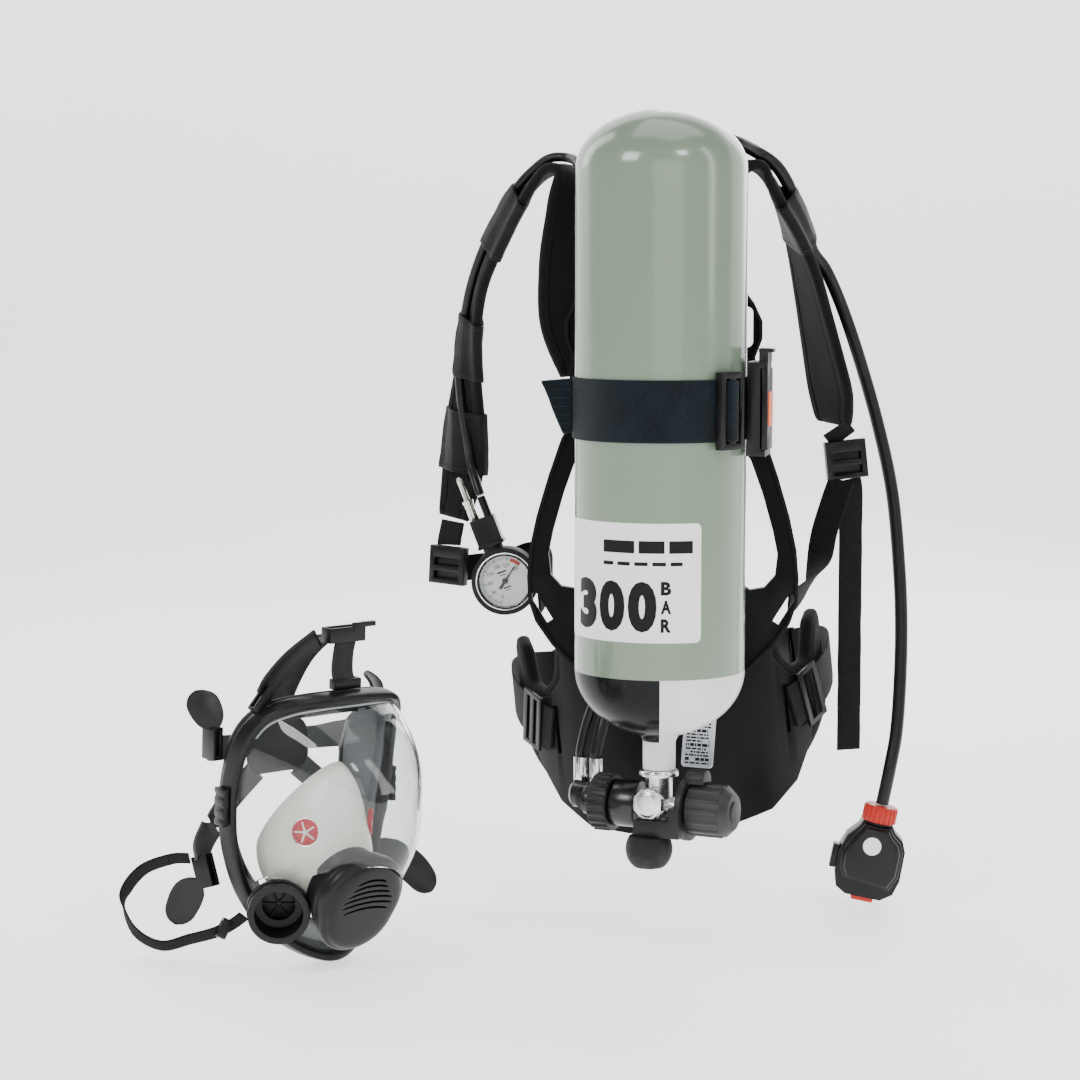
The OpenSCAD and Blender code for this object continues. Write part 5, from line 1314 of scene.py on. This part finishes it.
# ---------------------------------------------------------------- cylinder: the shell with a turned foot and neck ring
cyl = NODE["cylinder_shell"]
prof = [(0, 515.9)]
prof += [(70 * math.cos(math.radians(a)), 468 + 48 * math.sin(math.radians(a))) for a in np.linspace(88, 0, 40)]
prof += [(70, z) for z in np.linspace(460, 66, 40)]
prof += [(70 * math.cos(math.radians(a)), 60 - 56 * math.sin(math.radians(a))) for a in np.linspace(0, 76, 34)]
prof += [(15.6, 3.6), (14.2, 1.2), (13.6, -1.5), (13.6, -10), (13.5, -22.6), (13.1, -23.6), (12.4, -24), (9.2, -24)]
lathe(prof, mat4(), 128, name="cylinder_skin", mat=m_cyl, body=BODY["cylinder_shell"], replaces=["cylinder_shell"], sharp=60)
lathe([(13.7, -24.1), (15.4, -24.6), (16.3, -25.6), (16.4, -26.8), (15.6, -28), (13.9, -28.4)], mat4(), 64, name="valve_neck_ring", mat=m_chrome, body=BODY["valve_body"], closed_profile=True)

# demand valve cover with a round blank badge
V, F, UV = slab(np.array([(-11, -16.5), (11, -16.5), (14.8, -22), (22.2, -28), (25.4, -36), (25.4, -57), (19.8, -69), (-19.6, -65.4), (-24.6, -57.6), (-25.4, -44), (-20.4, -31.4), (-14, -22.2)], float),
                [(0.3, 6.1), (0, 6.6), (0, 12.6), (0.6, 13.6), (1.8, 14.3), (2.6, 15.0), (3.0, 17.2), (3.8, 18.4), (5.2, 19.0)], M_DV @ mat4(("X", 90)))
make("demand_valve_cover", V, F, m_valve, BODY["demand_cover"], uv=UV, replaces=["demand_cover"], sharp=28)
lathe([(0, 18.9), (6.6, 18.9), (7.5, 19.0), (7.7, 19.3), (7.3, 19.5), (6.7, 19.25), (0, 19.2)], M_DV @ mat4(("X", 90), ("T", (-2, -33, 0))), 48, name="demand_valve_badge", mat=m_white, body=BODY["demand_cover"], sharp=25)

# ---------------------------------------------------------------- mask
HALF = [[0, 8, 95], [26, 10, 94.5], [50, 18, 91], [67, 31, 81], [76, 43, 62], [80, 52, 34], [80, 57, 0], [76, 57, -30], [67, 53, -60], [54, 44, -84], [36, 32, -102], [18, 23, -112], [0, 20, -116]]
RAW = np.array(HALF + [[-x, y, z] for x, y, z in HALF[11:0:-1]], float) * np.array([152 / 160, 1, 1])
MN = 144


def crv(a, b, c, d, t):
    return 0.5 * (2 * b + (c - a) * t + (2 * a - 5 * b + 4 * c - d) * t * t + (3 * b - a - 3 * c + d) * t ** 3)


LOOP = np.array([crv(RAW[(i + 23) % 24], RAW[i], RAW[(i + 1) % 24], RAW[(i + 2) % 24], k / 6) for i in range(24) for k in range(6)])
TL = np.array([unit(LOOP[(k + 1) % MN] - LOOP[k - 1]) for k in range(MN)])
MO = np.array([unit(np.cross(t, [0, 1.0, 0])) for t in TL])


def chaikin(P, n=2, closed=True):
    P = np.asarray(P, float)
    for _ in range(n):
        Q = np.roll(P, -1, 0)
        P = np.stack([0.8 * P + 0.2 * Q, 0.2 * P + 0.8 * Q], 1).reshape(-1, 2)
    return P


def band(name, S, mat, node, node_body):
    S = chaikin(S, 2)
    rings = [[LOOP[k] + MO[k] * s[0] + np.array([0, s[1], 0]) for s in S] for k in range(MN)]
    return loft(name, at(M_MASK, rings), mat, node_body, closed=True, replaces=[node] if node else ())


MB = BODY["mask_bezel"]
band("mask_bezel_frame", [[-0.5, -8], [2.5, -7], [4, 6], [3, 9], [0.2, 9], [0.2, 1.4], [-6, 1.2], [-6, -4], [-3, -8]], m_plastic, "mask_bezel", MB)


def lerp(a, b, t):
    return a + (b - a) * t


def vy(k, r):
    return lerp(-58 + 50 * (max(0, -LOOP[k][2]) * r / 116) ** 2, LOOP[k][1] + 2, r ** 2.9)


def vp(k, r, o):
    return np.array([LOOP[k][0] * r + MO[k][0] * o * min(1, 1.3 * r), vy(k, r) - o * (1.1 - 0.9 * r), LOOP[k][2] * r + MO[k][2] * o * min(1, 1.3 * r)])


def cyl_data(M, prof, m=48):
    rings = at(M, [[(r * math.cos(a), r * math.sin(a), z) for a in np.linspace(0, 2 * math.pi, m, endpoint=False)] for r, z in prof])
    V, F, _ = loft_data(rings)
    return V, F


AT_SPEECH = M_MASK @ mat4(("T", (-12, -20.5, -53)), ("X", 20), ("X", 90))
AT_PORT = M_MASK @ mat4(("T", (-54, 17, -67)), ("Z", -35), ("X", 6), ("X", 90))


def at_inhale(s):
    return M_MASK @ mat4(("T", (s * 30, 16, -10)), ("Z", s * 50), ("X", 90))


VR = [0.015, 0.08, 0.16, 0.24, 0.32, 0.40, 0.48, 0.56, 0.64, 0.71, 0.78, 0.84, 0.89, 0.93, 0.96, 0.975]
rings = [[vp(k, r, -0.6) for k in range(MN)] for r in VR] + [[vp(k, r, -3.0) for k in range(MN)] for r in VR[::-1]]
V, F, UV = loft_data(at(M_MASK, rings))
visor = make("mask_visor_glass", V, F, m_visor, MB, uv=UV, replaces=["mask_visor"])
cut(visor, [cyl_data(AT_SPEECH, [(36, -40), (36, 80)]), cyl_data(AT_PORT, [(23, -17), (23, 60)])])
visor.data.polygons.foreach_set("use_smooth", [True] * len(visor.data.polygons))
visor.data.set_sharp_from_angle(angle=math.radians(50))


def seal_y(k, d):
    z = LOOP[k][2]
    return d * (1 if z > 40 else 1 - 0.2 * (40 - z) / 156)


S = chaikin([[-6.2, 1.6], [-0.6, 1.8], [-0.4, 9.4], [1, 9.4], [0.6, 14], [-4, 21], [-10, 28], [-16, 33], [-21, 34.5], [-26, 33.5], [-25.4, 31.7], [-21, 32.6], [-17, 30.8], [-12.5, 26], [-7.2, 19.5], [-4.6, 12.4], [-6.2, 11]], 2)
rings = []
for k in range(MN):
    up = max(0, LOOP[k][2] - 40) / 55
    rings.append([LOOP[k] + MO[k] * (s[0] + (min(5, 0.9 * (s[1] - 12)) * up if s[1] > 12 else 0)) + np.array([0, s[1] if s[1] < 12 else seal_y(k, s[1]), 0]) for s in S])
seal = loft("mask_face_seal", at(M_MASK, rings), m_mask, MB, closed=True, replaces=["face_seal"])
# its inner faces are a paler, see-through grade
m_inner = rubber("seal_inner", (0.15, 0.157, 0.165), 0.42, dust=0.0)
m_inner.node_tree.nodes["Principled BSDF"].inputs["Subsurface Weight"].default_value = 0.25
m_inner.node_tree.nodes["Principled BSDF"].inputs["Subsurface Radius"].default_value = (0.004, 0.004, 0.004)
seal.data.materials.append(m_inner)
RT = M_MASK[:3, :3].T
for p in seal.data.polygons:
    nl = RT @ np.array(p.normal)
    cl = at(np.linalg.inv(M_MASK), np.array(p.center) * 1000 + HOOK)
    o_ = unit([cl[0], 0, cl[2] + 10])
    if np.dot(nl, o_) < -0.12 and cl[2] < 70:
        p.material_index = 1
# the pale inner lip of the seal, seen through the visor under the brow
m_lip = rubber("seal_lip", (0.30, 0.31, 0.30), 0.45, dust=0.0)
sel = [k for k in range(MN) if LOOP[k][2] > 62]
sel = sorted(sel, key=lambda k: LOOP[k][0])
sec = chaikin([[-8.4, -6.0], [-5.8, -7.0], [-5.8, 1.4], [-8.4, 1.2]], 2)
rings = [[LOOP[k] + MO[k] * s[0] + np.array([0, s[1] + 1.0, 0]) for s in sec] for k in sel]
loft("mask_brow_lip", at(M_MASK, rings), m_lip, MB)


# nose cup
def nc_raw(t):
    c, q = math.cos(t), math.sin(t)
    n = 1 - 0.42 * max(0, q) ** 1.5
    return np.array([[46 * c * n, 54 + 6 * abs(c) - 36 * max(0, q) ** 1.3, -28 + (70 if q > 0 else 52) * q],
                     [44 * c * n, 38 - 27 * max(0, q) ** 1.3, -30 + (66 if q > 0 else 50) * q],
                     [38 * c * n - 3, 16 - 14 * max(0, q), -38 + (53 if q > 0 else 40) * q],
                     [31 * c - 5, 3 - 9 * q, -47 + (35 if q > 0 else 30) * q],
                     [26 * c - 6, -5.2 - 9.4 * q, -49 + 24.5 * q]])


NCK = 84
cols_o, cols_i = [], []
for k in range(NCK):
    o_ = spline(nc_raw(2 * math.pi * k / NCK), 4)
    i_ = []
    for p in o_:
        c = np.array([-6, p[1] + 6, -52])
        v = p - c
        i_.append(c + v * (1 - 2.2 / max(8, np.linalg.norm(v))))
    cols_o.append(o_); cols_i.append(i_)
rings = [list(cols_o[k]) + list(cols_i[k][::-1]) for k in range(NCK)]
V, F, UV = loft_data(at(M_MASK, rings), closed=True)
cup = make("mask_nose_cup", V, F, m_cup, MB, uv=UV, replaces=["inner_mask"])
cut(cup, [cyl_data(at_inhale(s), [(10.8, -12), (10.8, 12)]) for s in (-1, 1)])
cup.data.polygons.foreach_set("use_smooth", [True] * len(cup.data.polygons))
cup.data.set_sharp_from_angle(angle=math.radians(55))
# inhalation valves: a rim and a disc, under a seat of five spokes
parts, seat = [], []
for s in (-1, 1):
    M = at_inhale(s)
    rings = []
    for a in np.linspace(0, 2 * math.pi, 48, endpoint=False):
        rings.append([(r * math.cos(a), r * math.sin(a), z) for r, z in ((8.7, 0.1), (10.3, 0.1), (10.5, 0.6), (10.5, 3.4), (10.1, 3.95), (8.9, 3.95), (8.5, 3.4), (8.5, 0.6))])
    parts.append(loft_data(at(M, rings), closed=True))
    parts.append(loft_data(at(M, [[(r * math.cos(a), r * math.sin(a), z) for a in np.linspace(0, 2 * math.pi, 40, endpoint=False)] for r, z in ((1.0, 0.3), (8.6, 0.3), (9.0, 0.8), (9.0, 2.2), (8.2, 2.5), (2.0, 2.7), (0.5, 2.7))])))
    seat.append(loft_data(at(M, [[(r * math.cos(a), r * math.sin(a), z) for a in np.linspace(0, 2 * math.pi, 24, endpoint=False)] for r, z in ((1.9, 1.4), (2.1, 1.9), (2.1, 3.3), (1.6, 3.8), (0.7, 3.9))])))
    for k in range(5):
        a = math.radians(72 * k + 36)
        d, n_ = np.array([math.cos(a), math.sin(a), 0]), np.array([-math.sin(a), math.cos(a), 0])
        rr = []
        for r in (1.4, 4.0, 6.5, 9.2):
            w = 0.75
            rr.append([d * r + n_ * x + np.array([0, 0, z]) for x, z in ((-w, 1.2), (w, 1.2), (w, 3.0), (w * 0.6, 3.5), (-w * 0.6, 3.5), (-w, 3.0))])
        seat.append(loft_data(at(M, rr)))
V, F, UV = join_data(parts)
make("mask_inhalation_valves", V, F, m_redrub, MB, uv=UV, replaces=["inhale_valves"], sharp=35)
V, F, UV = join_data(seat)
make("mask_valve_seats", V, F, m_cup, MB, uv=UV, sharp=35)

# speech cover: an oval cap with bowed louvres
def capsule(k1, k2, n=64):
    """convex outline of two circles (cx, cy, r)"""
    P = []
    for cx, cy, r in (k1, k2):
        P += [(cx + r * math.cos(a), cy + r * math.sin(a)) for a in np.linspace(0, 2 * math.pi, 90, endpoint=False)]
    P = np.array(P)
    out = []
    c = np.array([0, -4.0])
    for a in np.linspace(0, 2 * math.pi, n, endpoint=False):
        d = np.array([math.cos(a), math.sin(a)])
        best = 0
        for cx, cy, r in (k1, k2):
            q = c - np.array([cx, cy])
            b = np.dot(q, d)
            disc = b * b - (np.dot(q, q) - r * r)
            if disc > 0:
                best = max(best, -b + math.sqrt(disc))
        out.append(c + d * best)
    out = np.array(out)
    for _ in range(2):
        out = 0.25 * np.roll(out, 1, 0) + 0.5 * out + 0.25 * np.roll(out, -1, 0)
    return out


oc = capsule((0, 2, 38.5), (0, -10, 35), 96)
cc = np.array([0, -4.0])
lv = [(1.0, 8.1), (1.0, 12.0), (0.985, 14.2), (0.955, 15.6), (0.92, 16.2), (0.905, 16.6), (0.885, 18.2), (0.84, 19.6), (0.76, 20.6), (0.62, 21.1), (0.4, 21.2)]
inn = [(0.40, 18.8), (0.62, 18.6), (0.74, 17.8), (0.80, 16.0), (0.86, 12), (0.87, 8.1)]
rings = [[(cc[0] + (p[0] - cc[0]) * f, cc[1] + (p[1] - cc[1]) * f, z) for p in oc] for f, z in lv]
V, F, UV = loft_data(at(AT_SPEECH, rings))
cover = make("mask_speech_cover", V, F, m_valve, MB, uv=UV, replaces=["speech_cover"], sharp=32)
slots = []
for j, y in enumerate((-1, 4, 9, 14, 19, 24)):
    w = 25 - abs(y - 6) * 0.62
    rr = []
    for x in np.linspace(-w, w, 15):
        b = -3.2 * (x / w) ** 2
        e = 1.05 * math.sqrt(max(0.15, 1 - (abs(x) / w) ** 6))
        rr.append([(x, y + b - e, 16.9), (x, y + b + e, 16.9), (x, y + b + e, 26), (x, y + b - e, 26)])
    v, f, _ = loft_data(at(AT_SPEECH, rr))
    slots.append((v, f))
cut(cover, slots)
cover.data.polygons.foreach_set("use_smooth", [True] * len(cover.data.polygons))
cover.data.set_sharp_from_angle(angle=math.radians(32))

M = AT_PORT
parts = [loft_data(at(M, [[(r * math.cos(a), r * math.sin(a), z) for a in np.linspace(0, 2 * math.pi, 40, endpoint=False)] for r, z in ((12.9, -9.6), (12.9, -8.2), (12.0, -7.9), (3.0, -7.7), (2.6, -6.6), (0.6, -6.4))]))]
for k in range(6):
    a = math.radians(60 * k)
    d, n_ = np.array([math.cos(a), math.sin(a), 0]), np.array([-math.sin(a), math.cos(a), 0])
    parts.append(loft_data(at(M, [[d * r + n_ * x + np.array([0, 0, z]) for x, z in ((-0.8, -8), (0.8, -8), (0.8, -6.4), (0.4, -6.0), (-0.4, -6.0), (-0.8, -6.4))] for r in (1.5, 5, 9, 12.8)])))
V, F, UV = join_data(parts)
make("mask_port_check_disc", V, F, m_plastic, MB, uv=UV, sharp=35)

# harness: moulded rubber straps, thicker along their edges, with rounded ends
RIM = 79.0


def sec_rub(w, t):
    e = min(1.6, w / 4)
    h = t / 2
    pts = [(-w / 2, 0), (-w / 2 + 0.3, h * 0.9), (-w / 2 + 0.9, h * 1.15), (-w / 2 + e + 0.4, h * 1.1), (-w / 2 + e + 1.0, h * 0.72), (0, h * 0.68), (w / 2 - e - 1.0, h * 0.72), (w / 2 - e - 0.4, h * 1.1), (w / 2 - 0.9, h * 1.15), (w / 2 - 0.3, h * 0.9)]
    pts += [(w / 2, 0)] + [(x, -y) for x, y in pts[:0:-1]]
    return np.array(pts)


def rub(P, D, W, t=2.4, n=7, ends=(True, True)):
    m = n * (len(P) - 1) + 1
    Ps = spline(P, n)
    Ds = spline(D, n) if len(D) == len(P) else np.array(D)[np.linspace(0, len(D) - 1, m).round().astype(int)]
    s = arc(Ps)
    T, Wd, U = frames(Ps, Ds)
    rings = []
    for i in range(m):
        w = W(i / (m - 1)) if callable(W) else W
        q = 1.0
        r = w / 2
        if ends[0] and s[i] < r:
            q = min(q, math.sqrt(max(0.02, 1 - (1 - s[i] / r) ** 2)))
        if ends[1] and s[-1] - s[i] < r:
            q = min(q, math.sqrt(max(0.02, 1 - (1 - (s[-1] - s[i]) / r) ** 2)))
        rings.append([Ps[i] + Wd[i] * x + U[i] * y for x, y in sec_rub(w * max(q, 0.12), t)])
    return loft_data(at(M_MASK, rings), U=s)


def paddle(w0, w1):
    return lambda u: w0 + (w1 - w0) * math.sin(math.pi * min(1, max(0, u * 0.86)))


parts, inner_straps = [], []
m_elastic = webbing("grey_elastic", (0.085, 0.088, 0.092), 1.3, 1.5, depth=0.0002, contrast=0.35)
for s in (1, -1):
    inner_straps.append(rub([[s * (RIM - 1), 84, 50], [s * 70, 94, 46], [s * 50, 98, 44], [s * 27, 99, 43]], [[0, .3, 1], [0, .2, 1], [0, 0, 1], [0, 0, 1]], 20, ends=(False, False)))
    inner_straps.append(rub([[s * (RIM - 2), 90, -44], [s * 72, 96, -30], [s * 50, 99, -4], [s * 20, 99.5, 22]], [[.4 * s, .2, 1], [.5 * s, .1, .9], [.8, 0, .6 * s], [.9, 0, .4 * s]], 20, ends=(False, False)))
    parts.append(rub([[s * RIM, 71, 66], [s * (RIM + 3), 76, 76], [s * (RIM + 5), 84, 86], [s * (RIM + 5), 94, 93]], [[-.77 * s, -.64, 0]] * 4, paddle(15, 26)))
parts.append(rub([[-RIM - 1, 93, -58], [-RIM - 3, 98, -66], [-RIM - 6, 104, -80], [-RIM - 8, 112, -98]], [[.77, -.64, .1]] * 4, paddle(13, 27)))
parts.append(rub([[RIM + 6, 72, -46], [RIM + 13, 58, -54], [RIM + 22, 44, -66], [RIM + 30, 32, -82]], [[.3, .4, .9]] * 4, paddle(13, 27)))
parts.append(rub([[8, 22.5, 104], [8, 26, 112], [11, 29, 126], [15, 31, 137]], [[1, 0, 0], [1, 0, 0], [1, .1, 0], [1, .1, 0]], 20, ends=(False, False)))
parts.append(rub([[-58, 38, 96], [-50, 40, 106], [-32, 40, 122], [-8, 37, 138]], [[.75, .1, -.65], [.7, .1, -.7], [.65, .1, -.75], [.6, .1, -.8]], 17, ends=(False, False)))
parts.append(rub([[14, 40, 138], [12, 56, 134], [6, 80, 112], [0, 96, 80], [0, 99.5, 60]], [[1, 0, 0]] * 5, 24, ends=(False, False)))
V1 = slab(rounded_rect(58, 44, 14, 10), [(0.6, -1.5), (0, -1.1), (0, 1.1), (0.6, 1.5), (3.0, 1.5), (3.4, 1.1)], M_MASK @ mat4(("T", (0, 99.5, 40)), ("X", 90)))
V, F, UV = join_data(parts + [V1])
make("mask_harness", V, F, m_mask, MB, uv=UV, replaces=["head_harness"])
V, F, UV = join_data(inner_straps)
make("mask_side_straps", V, F, m_elastic, MB, uv=UV)
NECK = [[-57, 60, -84], [-63, 68, -92], [-70, 80, -100], [-82, 98, -108], [-98, 116, -115], [-113, 132, -104], [-119, 138, -78], [-112, 124, -54], [-98, 104, -42], [-88, 92, -40]]
Ps = at(M_MASK, NECK)
dn = M_MASK[:3, :3] @ np.array([-.35, -.3, .85])
parts = [web(Ps, [dn] * len(Ps), 11, 1.8, n=8, wav=0.3, seed=8.0)]
V, F, UV = join_data(parts)
make("mask_neck_strap", V, F, m_web, MB, uv=UV)
# its slide, a loop with rounded edges
Mk = M_MASK @ mat4(("T", (-66.5, 74, -96)), ("Y", 30), ("Z", 58))
outer = rounded_rect(18, 16, 3.0, 5)
inner = rounded_rect(13.5, 11.4, 1.6, 5)
rings = []
for pl, z in ((outer, -4), (outer, 4), (inner, 4), (inner, -4)):
    rings.append(pl)
rings = []
for a in range(len(outer)):
    o2, i2 = outer[a], inner[a]
    m2 = (o2 + i2) / 2
    sec = [(o2[0], -3.4), (o2[0], 3.4)]
    rings.append([(o2[0], -3.3, o2[1]), (o2[0] * 0.97, -4, o2[1] * 0.97), (i2[0] * 1.05, -4, i2[1] * 1.05), (i2[0], -3.3, i2[1]), (i2[0], 3.3, i2[1]), (i2[0] * 1.05, 4, i2[1] * 1.05), (o2[0] * 0.97, 4, o2[1] * 0.97), (o2[0], 3.3, o2[1])])
loft("mask_neck_slide", at(Mk, rings), m_plastic, MB, closed=True, replaces=["neck_strap"], sharp=30)

# ---------------------------------------------------------------- floor, behind it a pale sweep
FZ = float(CAD_BOX[0][2]) - 0.0006
m_floor = Tree("studio_floor")
g = m_floor.mix(m_floor.ramp(m_floor.noise(3, 3), 0.3, 0.7), (0.86, 0.865, 0.87), (0.90, 0.90, 0.90))
mf = m_floor.done(g, 0.6, m_floor.bump(m_floor.noise(400, 2), 0.0001, 0.1))
m_floor.b.inputs["Emission Color"].default_value = (1, 1, 1, 1)
m_floor.b.inputs["Emission Strength"].default_value = 1.2
pts = [(-9.0, FZ)] + [(2.0 + 0.9 * math.sin(a), FZ + 0.9 - 0.9 * math.cos(a)) for a in np.linspace(0, math.pi / 2, 16)] + [(2.9, 3.2)]
V, F = [], []
for y, z in pts:
    V += [(-9.0, y, z), (9.0, y, z)]
for i in range(len(pts) - 1):
    F.append([2 * i, 2 * i + 1, 2 * i + 3, 2 * i + 2])
me = bpy.data.meshes.new("studio_sweep")
me.from_pydata(V, [], F)
me.polygons.foreach_set("use_smooth", [True] * len(me.polygons))
me.materials.append(mf)
sweep_ob = bpy.data.objects.new("studio_sweep", me)
COL.objects.link(sweep_ob)
